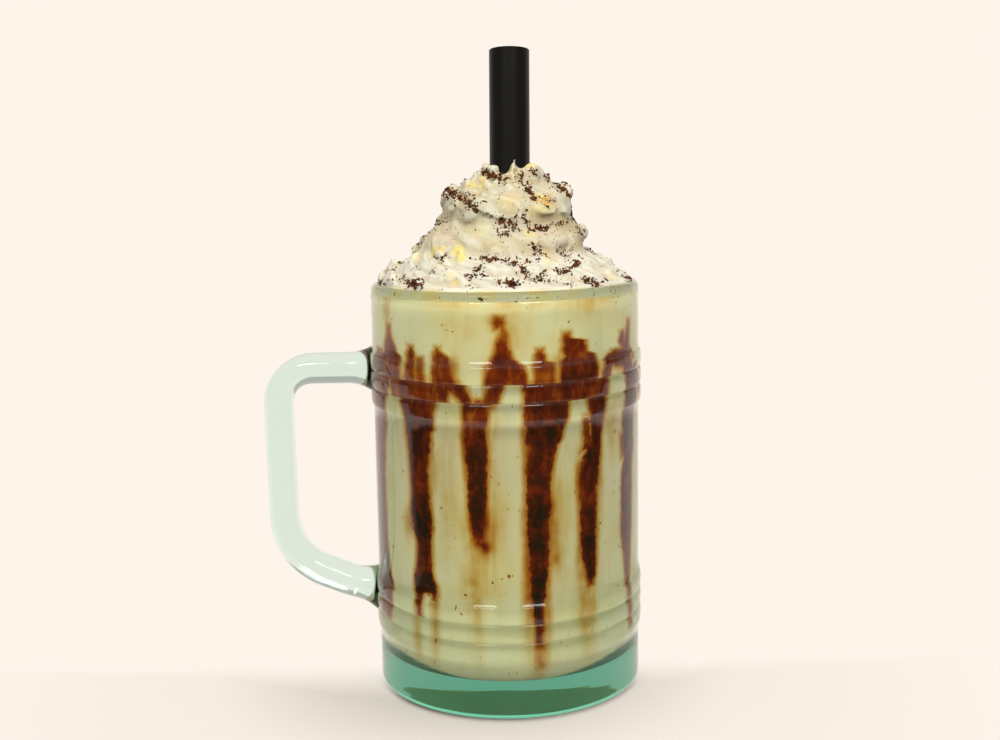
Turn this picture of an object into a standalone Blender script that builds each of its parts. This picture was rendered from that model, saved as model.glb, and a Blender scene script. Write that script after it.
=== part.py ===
"""Milkshake in a ribbed, heavy-based glass mug with a D-shaped handle.

Whipped cream in a three-tier swirl stands on the drink, and a wide black
straw leans back through both. Metres, +Z up. The origin is the centre of the
mug's base, the handle points to -X and the front is -Y.
"""

import math

import bmesh
import bpy
from mathutils import Vector

MM = 0.001

# Mug body
BODY_R = 40.0 * MM
MUG_H = 122.0 * MM
FLOOR_T = 9.5 * MM
BASE_CORNER_R = 2.2 * MM
INNER_R_TOP = 36.5 * MM
INNER_R_LOW = 36.0 * MM
FLOOR_CORNER_R = 9.0 * MM
BODY_STEPS = 52

# Two bands of three rounded rings round the body
RIB_H = 0.75 * MM
RIBS_PER_BAND = 3
LOWER_BAND = (17.6 * MM, 33.7 * MM)
UPPER_BAND = (86.2 * MM, 101.9 * MM)

# Handle: a bar along a D-shaped path in the plane Y = 0
BAR_HALF_T = 4.7 * MM
BAR_HALF_W = 5.6 * MM
ARM_TOP_Z = 96.4 * MM
ARM_END_X = -38.3 * MM
TOP_BEND_C = (-58.4 * MM, 85.6 * MM)
TOP_BEND_R = 10.8 * MM
LOW_BEND_C = (-49.3 * MM, 51.0 * MM)
LOW_BEND_R = 19.5 * MM
LOW_ARM_FALL = math.radians(22.0)
FLARE_L = 8.5 * MM
FLARE_T = 3.1 * MM
FLARE_W = 2.0 * MM
SECTION_POINTS = 12

# Drink
GAP = 0.3 * MM
DRINK_TOP = 119.0 * MM

# Straw
STRAW_R = 6.0 * MM
STRAW_WALL = 0.6 * MM
STRAW_LOW = Vector((0.67, -12.5, 15.2)) * MM
STRAW_TOP = Vector((2.55, 6.8, 190.0)) * MM
STRAW_STEPS = 28

# Whipped cream: (radius, height, share of the forward tilt) of the outline
CREAM_BOTTOM = DRINK_TOP + GAP
CREAM_AXIS = Vector((1.2, 0.6)) * MM
CREAM_STEPS = 48
CREAM_DIP = 2.2 * MM
CREAM_LUMP = 0.5 * MM


def clear_scene():
    for obj in list(bpy.data.objects):
        bpy.data.objects.remove(obj, do_unlink=True)


def material(name, colour, roughness, transmission=0.0):
    mat = bpy.data.materials.new(name)
    mat.use_nodes = True
    shader = mat.node_tree.nodes["Principled BSDF"]
    shader.inputs["Base Color"].default_value = (*colour, 1.0)
    shader.inputs["Roughness"].default_value = roughness
    shader.inputs["Metallic"].default_value = 0.0
    shader.inputs["Transmission Weight"].default_value = transmission
    return mat


def add_object(name, mesh, mat=None, helper=False):
    obj = bpy.data.objects.new(name, mesh)
    bpy.context.scene.collection.objects.link(obj)
    if mat is not None:
        mesh.materials.append(mat)
    if helper:
        obj.hide_render = True
        obj.display_type = "WIRE"
    return obj


def turned(name, profile, steps, mat):
    """A solid of revolution. The profile runs from the axis, down the outer side, back to the axis."""
    bm = bmesh.new()
    points = [bm.verts.new((r, 0.0, z)) for r, z in profile]
    for a, b in zip(points, points[1:]):
        bm.edges.new((a, b))
    mesh = bpy.data.meshes.new(name)
    bm.to_mesh(mesh)
    bm.free()
    obj = add_object(name, mesh, mat)
    screw = obj.modifiers.new("Turn", "SCREW")
    screw.axis = "Z"
    screw.angle = math.tau
    screw.steps = steps
    screw.render_steps = steps
    screw.use_merge_vertices = True
    screw.merge_threshold = 0.00001
    screw.use_smooth_shade = True
    return obj


def boolean(obj, other, operation):
    mod = obj.modifiers.new(operation.title() + " " + other.name, "BOOLEAN")
    mod.operation = operation
    mod.solver = "EXACT"
    mod.object = other


def rib_band(low, high):
    """Points up one band of rounded rings, as (radius, height)."""
    pitch = (high - low) / RIBS_PER_BAND
    points = []
    for rib in range(RIBS_PER_BAND):
        for share in (0.0, 0.22, 0.5, 0.78):
            bulge = RIB_H * math.sin(math.pi * share) ** 0.7 if share else 0.0
            points.append((BODY_R + bulge, low + (rib + share) * pitch))
    return [*points, (BODY_R, high)]


def arc(centre_r, centre_z, radius, start, end, count):
    """Points on an arc in the profile plane, angles in degrees."""
    found = []
    for i in range(count + 1):
        a = math.radians(start + (end - start) * i / count)
        found.append((centre_r + radius * math.cos(a), centre_z + radius * math.sin(a)))
    return found


def inner_radius(z):
    share = (z - FLOOR_T) / (MUG_H - FLOOR_T)
    return INNER_R_LOW + (INNER_R_TOP - INNER_R_LOW) * share


def mug_profile():
    rim_r = (BODY_R - INNER_R_TOP) / 2
    rim_z = MUG_H - rim_r
    inner = arc(BODY_R - rim_r, rim_z, rim_r, 180, 0, 6)
    floor = arc(
        INNER_R_LOW - FLOOR_CORNER_R, FLOOR_T + FLOOR_CORNER_R, FLOOR_CORNER_R, -90, 0, 6
    )
    outside = rib_band(*LOWER_BAND) + rib_band(*UPPER_BAND)
    base = arc(BODY_R - BASE_CORNER_R, BASE_CORNER_R, BASE_CORNER_R, 0, -90, 3)
    return (
        [(0.0, FLOOR_T)] + floor + inner + outside[::-1] + base + [(0.0, 0.0)]
    )


def drink_profile():
    corner = FLOOR_CORNER_R - GAP
    floor_z = FLOOR_T + GAP
    side = [
        (inner_radius(z) - GAP, z)
        for z in (DRINK_TOP, 84.0 * MM, 50.0 * MM)
    ]
    floor = arc(INNER_R_LOW - GAP - corner, floor_z + corner, corner, 0, -90, 6)
    return [(0.0, DRINK_TOP)] + side + floor + [(0.0, floor_z)]


def flared(distance):
    """Extra half thickness and half width of the bar this far from the wall."""
    near = max(0.0, 1.0 - distance / FLARE_L)
    return FLARE_T * near**2.2, FLARE_W * near**2.2


def handle_stations():
    """(x, z, angle of the section's normal, half thickness, half width) along the bar."""
    stations = []
    wall_x = -BODY_R + 0.8 * MM
    bend_x, bend_z = TOP_BEND_C
    for x in (ARM_END_X, -40.6 * MM, -42.3 * MM, -44.6 * MM, -48.5 * MM, bend_x):
        more_t, more_w = flared(max(0.0, wall_x - x))
        stations.append(
            (x, ARM_TOP_Z - more_t * 0.15, 90.0, BAR_HALF_T + more_t, BAR_HALF_W + more_w)
        )
    for step in range(1, 6):
        a = 90.0 + 18.0 * step
        stations.append(
            (
                bend_x + TOP_BEND_R * math.cos(math.radians(a)),
                bend_z + TOP_BEND_R * math.sin(math.radians(a)),
                a,
                BAR_HALF_T - 0.25 * MM,
                BAR_HALF_W,
            )
        )
    low_x, low_z = LOW_BEND_C
    end_angle = 270.0 - math.degrees(LOW_ARM_FALL)
    for step in range(7):
        a = 180.0 + (end_angle - 180.0) * step / 6
        stations.append(
            (
                low_x + LOW_BEND_R * math.cos(math.radians(a)),
                low_z + LOW_BEND_R * math.sin(math.radians(a)),
                a,
                BAR_HALF_T - 0.25 * MM * (1 - step / 6),
                BAR_HALF_W,
            )
        )
    start_x, start_z = stations[-1][0], stations[-1][1]
    for x, turn in (
        (-48.5 * MM, 0.3),
        (-44.9 * MM, 0.8),
        (-42.5 * MM, 1.0),
        (-40.7 * MM, 1.0),
        (ARM_END_X, 1.0),
    ):
        more_t, more_w = flared(max(0.0, wall_x - x))
        fall = (x - start_x) * math.tan(LOW_ARM_FALL) * (1 - 0.14 * turn)
        stations.append(
            (
                x,
                start_z - fall,
                end_angle + (270.0 - end_angle) * turn,
                BAR_HALF_T + more_t,
                BAR_HALF_W + more_w,
            )
        )
    return stations


def handle_mesh(name):
    bm = bmesh.new()
    rings = []
    for x, z, angle, half_t, half_w in handle_stations():
        out = Vector((math.cos(math.radians(angle)), 0, math.sin(math.radians(angle))))
        ring = []
        for i in range(SECTION_POINTS):
            a = math.tau * i / SECTION_POINTS
            c, s = math.cos(a), math.sin(a)
            # a superellipse, a little squarer than an ellipse
            t = math.copysign(abs(c) ** 0.85, c) * half_t
            w = math.copysign(abs(s) ** 0.85, s) * half_w
            ring.append(bm.verts.new(Vector((x, 0, z)) + out * t + Vector((0, w, 0))))
        rings.append(ring)
    for one, two in zip(rings, rings[1:]):
        for i in range(SECTION_POINTS):
            j = (i + 1) % SECTION_POINTS
            bm.faces.new((one[i], one[j], two[j], two[i]))
    bm.faces.new(rings[0])
    bm.faces.new(rings[-1])
    bmesh.ops.recalc_face_normals(bm, faces=bm.faces)
    mesh = bpy.data.meshes.new(name)
    bm.to_mesh(mesh)
    bm.free()
    return mesh


def straw_axis(z):
    """The straw's axis point at this height."""
    share = (z - STRAW_LOW.z) / (STRAW_TOP.z - STRAW_LOW.z)
    return STRAW_LOW.lerp(STRAW_TOP, share)


def tube_mesh(name, outer, inner, low, high, steps):
    """A tube, or a rod if inner is 0, between two points."""
    along = (high - low).normalized()
    turn = Vector((0, 0, 1)).rotation_difference(along).to_matrix()
    bm = bmesh.new()

    def ring(radius, centre):
        return [
            bm.verts.new(
                centre
                + turn
                @ Vector(
                    (
                        radius * math.cos(math.tau * i / steps),
                        radius * math.sin(math.tau * i / steps),
                        0,
                    )
                )
            )
            for i in range(steps)
        ]

    def bridge(one, two):
        for i in range(steps):
            j = (i + 1) % steps
            bm.faces.new((one[i], one[j], two[j], two[i]))

    outside = ring(outer, low), ring(outer, high)
    bridge(*outside)
    if inner:
        inside = ring(inner, low), ring(inner, high)
        bridge(*inside)
        bridge(outside[0], inside[0])
        bridge(outside[1], inside[1])
    else:
        bm.faces.new(outside[0])
        bm.faces.new(outside[1])
    bmesh.ops.recalc_face_normals(bm, faces=bm.faces)
    mesh = bpy.data.meshes.new(name)
    bm.to_mesh(mesh)
    bm.free()
    return mesh


def cream_outline():
    """(radius, height, share of the swirl's tilt) from the mouth of the mug up to the straw."""
    tiers = [
        # the plug in the mouth of the mug
        (35.85, 119.3, 0.0),
        (35.85, 121.3, 0.0),
        (36.6, 122.2, 0.0),
        (38.0, 122.45, 0.0),
        # first tier, spread to the rim
        (38.2, 123.2, 0.05),
        (36.0, 125.6, 0.2),
        (32.8, 128.6, 0.5),
        (28.6, 130.5, 0.9),
        (25.4, 131.2, 1.0),
        # second tier
        (25.6, 132.8, 1.0),
        (25.4, 135.4, 1.0),
        (23.2, 138.2, 1.0),
        (20.2, 139.8, 1.1),
        (18.5, 140.6, 1.2),
        # third tier
        (19.8, 142.4, 1.0),
        (20.2, 145.0, 0.8),
        (18.6, 148.0, 0.6),
        (15.0, 150.4, 0.4),
        (11.2, 151.8, 0.3),
        # tufts round the straw
        (9.6, 153.4, 0.2),
        (9.2, 155.2, 0.1),
        (7.4, 156.8, 0.0),
    ]
    return [(r * MM, z * MM, tilt) for r, z, tilt in tiers]


def cream_mesh(name):
    """A heap of three rope-like tiers: rings of points about a leaning axis."""
    bm = bmesh.new()
    rings = []
    outline = cream_outline()
    for row, (radius, height, tilt) in enumerate(outline):
        share = row / (len(outline) - 1)
        centre = CREAM_AXIS * min(1.0, max(0.0, (height - MUG_H) / (20 * MM)))
        ring = []
        for i in range(CREAM_STEPS):
            a = math.tau * i / CREAM_STEPS
            free = min(1.0, max(0.0, (height - MUG_H - 1.5 * MM) / (4 * MM)))
            lump = math.sin(5 * a + 9.0 * share) + 0.6 * math.sin(9 * a - 14.0 * share)
            r = radius + CREAM_LUMP * free * lump
            # the creases between the tiers lie lower at the front, -Y
            z = height + CREAM_DIP * tilt * math.sin(a)
            ring.append(
                bm.verts.new((centre.x + r * math.cos(a), centre.y + r * math.sin(a), z))
            )
        rings.append(ring)
    for one, two in zip(rings, rings[1:]):
        for i in range(CREAM_STEPS):
            j = (i + 1) % CREAM_STEPS
            bm.faces.new((one[i], one[j], two[j], two[i]))
    bm.faces.new(rings[0])
    bm.faces.new(rings[-1])
    bmesh.ops.recalc_face_normals(bm, faces=bm.faces)
    mesh = bpy.data.meshes.new(name)
    bm.to_mesh(mesh)
    bm.free()
    return mesh


def soften(mesh, degrees):
    mesh.shade_smooth()
    mesh.set_sharp_from_angle(angle=math.radians(degrees))


def main():
    clear_scene()

    glass = material("glass_green", (0.78, 0.92, 0.84), 0.03, transmission=1.0)
    drink_mat = material("drink_khaki_cream", (0.53, 0.45, 0.24), 0.35)
    cream_mat = material("cream_ivory", (0.86, 0.80, 0.66), 0.5)
    straw_mat = material("straw_black", (0.012, 0.012, 0.010), 0.35)

    mug = turned("mug", mug_profile()[::-1], BODY_STEPS, glass)
    handle = add_object("handle_bar", handle_mesh("handle_bar"), helper=True)
    boolean(mug, handle, "UNION")

    # The drink fills the mug, and the straw with it, so only the straw's wall is cut out.
    drink = turned("milkshake", drink_profile(), BODY_STEPS, drink_mat)
    slot = add_object(
        "straw_slot",
        tube_mesh(
            "straw_slot",
            STRAW_R + GAP,
            STRAW_R - STRAW_WALL - GAP,
            straw_axis(STRAW_LOW.z - GAP),
            straw_axis(DRINK_TOP + 6 * MM),
            STRAW_STEPS,
        ),
        helper=True,
    )
    boolean(drink, slot, "DIFFERENCE")

    cream = add_object("cream", cream_mesh("cream"), cream_mat)
    soften(cream.data, 60)
    hole = add_object(
        "straw_hole",
        tube_mesh(
            "straw_hole",
            STRAW_R + GAP,
            0.0,
            straw_axis(DRINK_TOP - 6 * MM),
            straw_axis(166 * MM),
            STRAW_STEPS,
        ),
        helper=True,
    )
    boolean(cream, hole, "DIFFERENCE")

    straw = add_object(
        "straw",
        tube_mesh(
            "straw", STRAW_R, STRAW_R - STRAW_WALL, STRAW_LOW, STRAW_TOP, STRAW_STEPS
        ),
        straw_mat,
    )
    soften(straw.data, 40)


main()
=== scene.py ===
import math
import random

import bmesh
import bpy
import numpy as np
from mathutils import Matrix, Vector, noise
from mathutils.bvhtree import BVHTree


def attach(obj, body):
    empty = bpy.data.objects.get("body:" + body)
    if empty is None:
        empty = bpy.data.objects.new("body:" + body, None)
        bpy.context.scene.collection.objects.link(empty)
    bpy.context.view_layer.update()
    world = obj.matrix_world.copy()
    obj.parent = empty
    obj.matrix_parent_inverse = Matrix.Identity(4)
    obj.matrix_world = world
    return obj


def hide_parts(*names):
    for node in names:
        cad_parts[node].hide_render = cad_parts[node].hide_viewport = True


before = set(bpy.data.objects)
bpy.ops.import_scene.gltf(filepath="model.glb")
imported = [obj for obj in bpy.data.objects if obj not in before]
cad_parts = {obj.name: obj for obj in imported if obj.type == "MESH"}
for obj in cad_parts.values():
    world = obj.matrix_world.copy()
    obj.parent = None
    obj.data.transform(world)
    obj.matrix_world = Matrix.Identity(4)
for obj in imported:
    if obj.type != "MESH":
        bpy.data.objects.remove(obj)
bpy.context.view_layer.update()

MM = 0.001
RNG = random.Random(7)

# ---------------------------------------------------------------- sizes
BODY_R = 40.0 * MM
MUG_H = 122.0 * MM
FLOOR_T = 9.5 * MM
BASE_CORNER_R = 2.2 * MM
INNER_R_TOP = 36.5 * MM
INNER_R_LOW = 36.0 * MM
FLOOR_CORNER_R = 6.8 * MM
RIB_H = 0.75 * MM
LOWER_BAND = (17.6 * MM, 33.7 * MM)
UPPER_BAND = (86.2 * MM, 101.9 * MM)
DRINK_TOP = 119.0 * MM
REACH = 0.10 * MM  # how far the contents reach into the wall
STRAW_R = 6.0 * MM
STRAW_WALL = 0.6 * MM
STRAW_LOW = Vector((0.67, -12.5, 15.2)) * MM
STRAW_TOP = Vector((2.55, 6.8, 190.0)) * MM

# ---------------------------------------------------------------- camera
FOCAL_PX = 1289.7
WIDE, HIGH = 1000, 740
EYE = Vector((-0.00172, -0.38676, 0.15372))
PITCH = math.radians(8.66)
ROLL = math.radians(-0.944)
CAM_TURN = (
    Matrix.Rotation(math.radians(90) - PITCH, 3, "X") @ Matrix.Rotation(ROLL, 3, "Z")
)


def srgb(r, g, b):
    """Linear colour of an 8-bit screen colour."""
    out = []
    for c in (r, g, b):
        c /= 255.0
        out.append(c / 12.92 if c <= 0.04045 else ((c + 0.055) / 1.055) ** 2.4)
    return tuple(out)


def make_camera():
    data = bpy.data.cameras.new("camera")
    data.sensor_fit = "HORIZONTAL"
    data.sensor_width = 36.0
    data.lens = FOCAL_PX * 36.0 / WIDE
    data.clip_start = 0.01
    cam = bpy.data.objects.new("camera", data)
    cam.matrix_world = Matrix.Translation(EYE) @ CAM_TURN.to_4x4()
    bpy.context.scene.collection.objects.link(cam)
    bpy.context.scene.camera = cam


def pixel_ray(px, py):
    """Direction in which the camera sees this place of a picture 1000 wide."""
    v = Vector(((px - WIDE / 2) / FOCAL_PX, -(py - HIGH / 2) / FOCAL_PX, -1.0))
    return (CAM_TURN @ v).normalized()


def inner_radius(z):
    share = (z - FLOOR_T) / (MUG_H - FLOOR_T)
    return INNER_R_LOW + (INNER_R_TOP - INNER_R_LOW) * share


def on_wall(px, py):
    """(degrees right of the front, height) of the place on the inside of the glass seen there, bent by the glass."""
    d, o = pixel_ray(px, py), EYE
    a = d.x**2 + d.y**2
    b = 2 * (o.x * d.x + o.y * d.y)
    c = o.x**2 + o.y**2 - BODY_R**2
    disc = b * b - 4 * a * c
    if disc <= 0:  # past the outline: the side itself
        t = -b / (2 * a)
        p = o + d * t
        return (94.0 if p.x > 0 else -94.0), p.z
    t = (-b - math.sqrt(disc)) / (2 * a)
    p = o + d * t
    n = Vector((p.x, p.y, 0)).normalized()
    eta, cosi = 1 / 1.5, -n.dot(d)
    k = 1 - eta * eta * (1 - cosi * cosi)
    d = (d * eta + n * (eta * cosi - math.sqrt(k))).normalized()
    r = inner_radius(p.z)
    a = d.x**2 + d.y**2
    b = 2 * (p.x * d.x + p.y * d.y)
    c = p.x**2 + p.y**2 - r**2
    t = (-b - math.sqrt(max(b * b - 4 * a * c, 0))) / (2 * a)
    p = p + d * t
    return math.degrees(math.atan2(p.x, -p.y)), p.z


# ---------------------------------------------------------------- mesh helpers
def new_object(name, verts, faces, mat, smooth=True, body="root"):
    mesh = bpy.data.meshes.new(name)
    mesh.from_pydata([tuple(v) for v in verts], [], [tuple(f) for f in faces])
    mesh.update()
    if smooth:
        mesh.shade_smooth()
    return add(name, mesh, mat, body)


def add(name, mesh, mat, body="root"):
    obj = bpy.data.objects.new(name, mesh)
    bpy.context.scene.collection.objects.link(obj)
    if mat is not None:
        mesh.materials.append(mat)
    if body:
        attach(obj, body)
    return obj


def grid_faces(rows, cols, closed=True):
    faces = []
    last = cols if closed else cols - 1
    for r in range(rows - 1):
        for c in range(last):
            d = (c + 1) % cols
            faces.append((r * cols + c, r * cols + d, (r + 1) * cols + d, (r + 1) * cols + c))
    return faces


def lathe(profile, steps):
    """Points and faces of a closed solid of revolution, from a profile that starts and ends on the axis."""
    inner = profile[1:-1]
    a = np.linspace(0, 2 * np.pi, steps, endpoint=False)
    verts = [
        (r * math.cos(t), r * math.sin(t), z) for r, z in inner for t in a
    ]
    faces = grid_faces(len(inner), steps)
    low, high = len(verts), len(verts) + 1
    verts += [(0, 0, profile[0][1]), (0, 0, profile[-1][1])]
    last = (len(inner) - 1) * steps
    for c in range(steps):
        d = (c + 1) % steps
        faces.append((low, d, c))
        faces.append((high, last + c, last + d))
    return verts, faces


def arc(cr, cz, radius, start, end, count):
    return [
        (
            cr + radius * math.cos(math.radians(start + (end - start) * i / count)),
            cz + radius * math.sin(math.radians(start + (end - start) * i / count)),
        )
        for i in range(count + 1)
    ]


def smooth_step(x):
    x = min(1.0, max(0.0, x))
    return x * x * (3 - 2 * x)


def apply_modifiers(obj):
    dg = bpy.context.evaluated_depsgraph_get()
    mesh = bpy.data.meshes.new_from_object(obj.evaluated_get(dg))
    old = obj.data
    obj.modifiers.clear()
    obj.data = mesh
    bpy.data.meshes.remove(old)
    return obj


def straw_axis(z):
    share = (z - STRAW_LOW.z) / (STRAW_TOP.z - STRAW_LOW.z)
    return STRAW_LOW.lerp(STRAW_TOP, share)


# ---------------------------------------------------------------- material helpers
class Nodes:
    """Short ways to write a node material."""

    def __init__(self, name):
        self.mat = bpy.data.materials.new(name)
        self.mat.use_nodes = True
        self.tree = self.mat.node_tree
        self.tree.nodes.clear()
        self.out = self.tree.nodes.new("ShaderNodeOutputMaterial")
        self.bsdf = self.tree.nodes.new("ShaderNodeBsdfPrincipled")
        self.link(self.bsdf.outputs[0], self.out.inputs["Surface"])

    def link(self, a, b):
        self.tree.links.new(a, b)

    def node(self, kind, **sets):
        n = self.tree.nodes.new(kind)
        for key, value in sets.items():
            setattr(n, key, value)
        return n

    def put(self, socket, value):
        if hasattr(value, "is_output"):
            self.link(value, socket)
        else:
            socket.default_value = value

    def set(self, **values):
        for key, value in values.items():
            name = key.replace("_", " ")
            if isinstance(value, tuple) and len(value) == 3 and "Color" in name:
                value = (*value, 1.0)
            self.put(self.bsdf.inputs[name], value)

    def coords(self, scale=(1, 1, 1)):
        c = self.node("ShaderNodeTexCoord")
        m = self.node("ShaderNodeMapping")
        m.inputs["Scale"].default_value = scale
        self.link(c.outputs["Object"], m.inputs["Vector"])
        return m.outputs[0]

    def noise(self, scale, detail=3.0, rough=0.5, vector=None, distortion=0.0):
        n = self.node("ShaderNodeTexNoise")
        n.inputs["Scale"].default_value = scale
        n.inputs["Detail"].default_value = detail
        n.inputs["Roughness"].default_value = rough
        n.inputs["Distortion"].default_value = distortion
        self.link(vector if vector is not None else self.coords(), n.inputs["Vector"])
        return n.outputs["Fac"]

    def math(self, op, a, b=0.0, c=None, clamp=False):
        n = self.node("ShaderNodeMath", operation=op, use_clamp=clamp)
        self.put(n.inputs[0], a)
        self.put(n.inputs[1], b)
        if c is not None:
            self.put(n.inputs[2], c)
        return n.outputs[0]

    def mix(self, fac, a, b, blend="MIX"):
        n = self.node("ShaderNodeMix", data_type="RGBA", blend_type=blend)
        self.put(n.inputs[0], fac)
        for i, value in ((6, a), (7, b)):
            if isinstance(value, tuple):
                value = (*value, 1.0)
            self.put(n.inputs[i], value)
        return n.outputs[2]

    def remap(self, value, low, high, to_low=0.0, to_high=1.0, smooth=True):
        n = self.node("ShaderNodeMapRange", interpolation_type="SMOOTHSTEP" if smooth else "LINEAR")
        self.put(n.inputs["Value"], value)
        for key, v in (("From Min", low), ("From Max", high), ("To Min", to_low), ("To Max", to_high)):
            self.put(n.inputs[key], v)
        return n.outputs[0]

    def ramp(self, fac, stops, interpolation="LINEAR"):
        n = self.node("ShaderNodeValToRGB")
        r = n.color_ramp
        r.interpolation = interpolation
        while len(r.elements) < len(stops):
            r.elements.new(0.5)
        for e, (pos, colour) in zip(r.elements, stops):
            e.position = pos
            if not isinstance(colour, tuple):
                colour = (colour,) * 3
            e.color = (*colour, 1.0)
        self.put(n.inputs[0], fac)
        return n.outputs[0]

    def bump(self, height, strength, distance):
        n = self.node("ShaderNodeBump")
        n.inputs["Strength"].default_value = strength
        n.inputs["Distance"].default_value = distance
        self.put(n.inputs["Height"], height)
        self.link(n.outputs[0], self.bsdf.inputs["Normal"])

    def attribute(self, name):
        return self.node("ShaderNodeAttribute", attribute_name=name).outputs["Fac"]


# ---------------------------------------------------------------- glass
def glass_material():
    m = Nodes("glass_green_pressed")
    m.set(
        Metallic=0.0,
        IOR=1.5,
        Transmission_Weight=1.0,
    )
    m.put(
        m.bsdf.inputs["Roughness"],
        m.math("MULTIPLY_ADD", m.noise(60.0, 3.0), 0.02, 0.0),
    )
    m.set(Base_Color=m.mix(m.noise(40.0, 2.0), (0.985, 0.992, 0.990), (1.0, 1.0, 1.0)))
    # the slow waves of pressed glass
    m.bump(m.noise(95.0, 1.0), 0.10, 0.0006)
    volume = m.node("ShaderNodeVolumeAbsorption")
    volume.inputs["Color"].default_value = (0.125, 0.854, 0.667, 1.0)
    volume.inputs["Density"].default_value = 24.0
    m.link(volume.outputs[0], m.out.inputs["Volume"])
    return m.mat


def rib_points(low, high, per_rib=32):
    points = []
    pitch = (high - low) / 3
    for rib in range(3):
        for i in range(per_rib):
            t = i / per_rib
            bulge = RIB_H * math.sqrt(1 - (1 - 2 * min(t, 1 - t)) ** 3)
            points.append((BODY_R + bulge, low + (rib + t) * pitch))
    return [*points, (BODY_R, high)]


def span(r, low, high, count):
    return [(r, low + (high - low) * (i + 1) / (count + 1)) for i in range(count)]


def mug_profile():
    rim_r = (BODY_R - INNER_R_TOP) / 2
    base = arc(BODY_R - BASE_CORNER_R, BASE_CORNER_R, BASE_CORNER_R, -90, 0, 10)
    outside = (
        span(BODY_R, BASE_CORNER_R, LOWER_BAND[0], 4)
        + rib_points(*LOWER_BAND)
        + span(BODY_R, LOWER_BAND[1], UPPER_BAND[0], 12)
        + rib_points(*UPPER_BAND)
        + span(BODY_R, UPPER_BAND[1], 117.8 * MM, 4)
        + [(BODY_R + 0.22 * MM * math.sin(math.pi * i / 8), (117.8 + 1.5 * i / 8) * MM) for i in range(9)]
        + span(BODY_R, 119.3 * MM, MUG_H - rim_r, 1)
    )
    rim = arc(BODY_R - rim_r, MUG_H - rim_r, rim_r, 0, 180, 16)
    wall = [
        (inner_radius(z * MM), z * MM) for z in (112, 100, 88, 76, 64, 52, 40, 30, 22)
    ]
    floor = arc(
        INNER_R_LOW - FLOOR_CORNER_R, FLOOR_T + FLOOR_CORNER_R, FLOOR_CORNER_R, 0, -90, 10
    )
    return (
        [(0.0, 0.0), (20 * MM, 0.0)]
        + base
        + outside
        + rim
        + wall
        + floor
        + [(20 * MM, FLOOR_T), (0.0, FLOOR_T)]
    )


# Handle
BAR_T, BAR_W = 4.7 * MM, 5.6 * MM
ARM_TOP_Z = 96.4 * MM
TOP_BEND_C, TOP_BEND_R = (-58.4 * MM, 85.6 * MM), 10.8 * MM
LOW_BEND_C, LOW_BEND_R = (-49.3 * MM, 51.0 * MM), 19.5 * MM
LOW_ARM_FALL = 22.0
ARM_END_X = -38.3 * MM


def flared(x):
    near = max(0.0, 1.0 - max(0.0, -39.2 * MM - x) / (8.5 * MM))
    return 3.1 * MM * near**2.2, 2.0 * MM * near**2.2


def handle_stations():
    found = []
    bx, bz = TOP_BEND_C
    for i in range(26):
        x = ARM_END_X + (bx - ARM_END_X) * i / 26
        t, w = flared(x)
        found.append((x, ARM_TOP_Z - 0.15 * t, 90.0, BAR_T + t, BAR_W + w))
    for i in range(15):
        a = 90 + 90 * i / 14
        ease = smooth_step(i / 7)
        found.append(
            (
                bx + TOP_BEND_R * math.cos(math.radians(a)),
                bz + TOP_BEND_R * math.sin(math.radians(a)),
                a,
                BAR_T - 0.25 * MM * ease,
                BAR_W,
            )
        )
    lx, lz = LOW_BEND_C
    top, low = found[-1][:2], (lx - LOW_BEND_R, lz)
    for i in range(1, 14):
        s = i / 14
        found.append(
            (
                top[0] + (low[0] - top[0]) * s,
                top[1] + (low[1] - top[1]) * s,
                180.0,
                BAR_T - 0.25 * MM,
                BAR_W,
            )
        )
    end = 270 - LOW_ARM_FALL
    for i in range(17):
        a = 180 + (end - 180) * i / 16
        found.append(
            (
                lx + LOW_BEND_R * math.cos(math.radians(a)),
                lz + LOW_BEND_R * math.sin(math.radians(a)),
                a,
                BAR_T - 0.25 * MM * (1 - i / 16),
                BAR_W,
            )
        )
    sx, sz = found[-1][:2]
    for i in range(1, 25):
        x = sx + (ARM_END_X - sx) * i / 24
        turn = smooth_step((x + 51 * MM) / (8 * MM))
        t, w = flared(x)
        fall = (x - sx) * math.tan(math.radians(LOW_ARM_FALL)) * (1 - 0.14 * turn)
        found.append((x, sz - fall, end + (270 - end) * turn, BAR_T + t, BAR_W + w))
    return found


def handle_mesh(count=36):
    verts, stations = [], handle_stations()
    for x, z, angle, half_t, half_w in stations:
        out = Vector((math.cos(math.radians(angle)), 0, math.sin(math.radians(angle))))
        for i in range(count):
            a = math.tau * i / count
            c, s = math.cos(a), math.sin(a)
            t = math.copysign(abs(c) ** 0.85, c) * half_t
            w = math.copysign(abs(s) ** 0.85, s) * half_w
            verts.append(Vector((x, 0, z)) + out * t + Vector((0, w, 0)))
    faces = grid_faces(len(stations), count)
    faces.append(tuple(range(count))[::-1])
    last = (len(stations) - 1) * count
    faces.append(tuple(last + i for i in range(count)))
    return verts, faces


def make_mug():
    mat = glass_material()
    mug = new_object("glass_mug", *lathe(mug_profile(), 256), mat)
    verts, faces = handle_mesh()
    bm = bmesh.new()
    mesh = bpy.data.meshes.new("handle_bar")
    mesh.from_pydata([tuple(v) for v in verts], [], faces)
    bm.from_mesh(mesh)
    bmesh.ops.recalc_face_normals(bm, faces=bm.faces)
    bm.to_mesh(mesh)
    bm.free()
    bar = bpy.data.objects.new("handle_bar", mesh)
    bpy.context.scene.collection.objects.link(bar)
    mod = mug.modifiers.new("join", "BOOLEAN")
    mod.operation, mod.solver, mod.object = "UNION", "EXACT", bar
    apply_modifiers(mug)
    bpy.data.objects.remove(bar)
    mug.data.shade_smooth()
    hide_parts("mug")
    return mug


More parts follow.
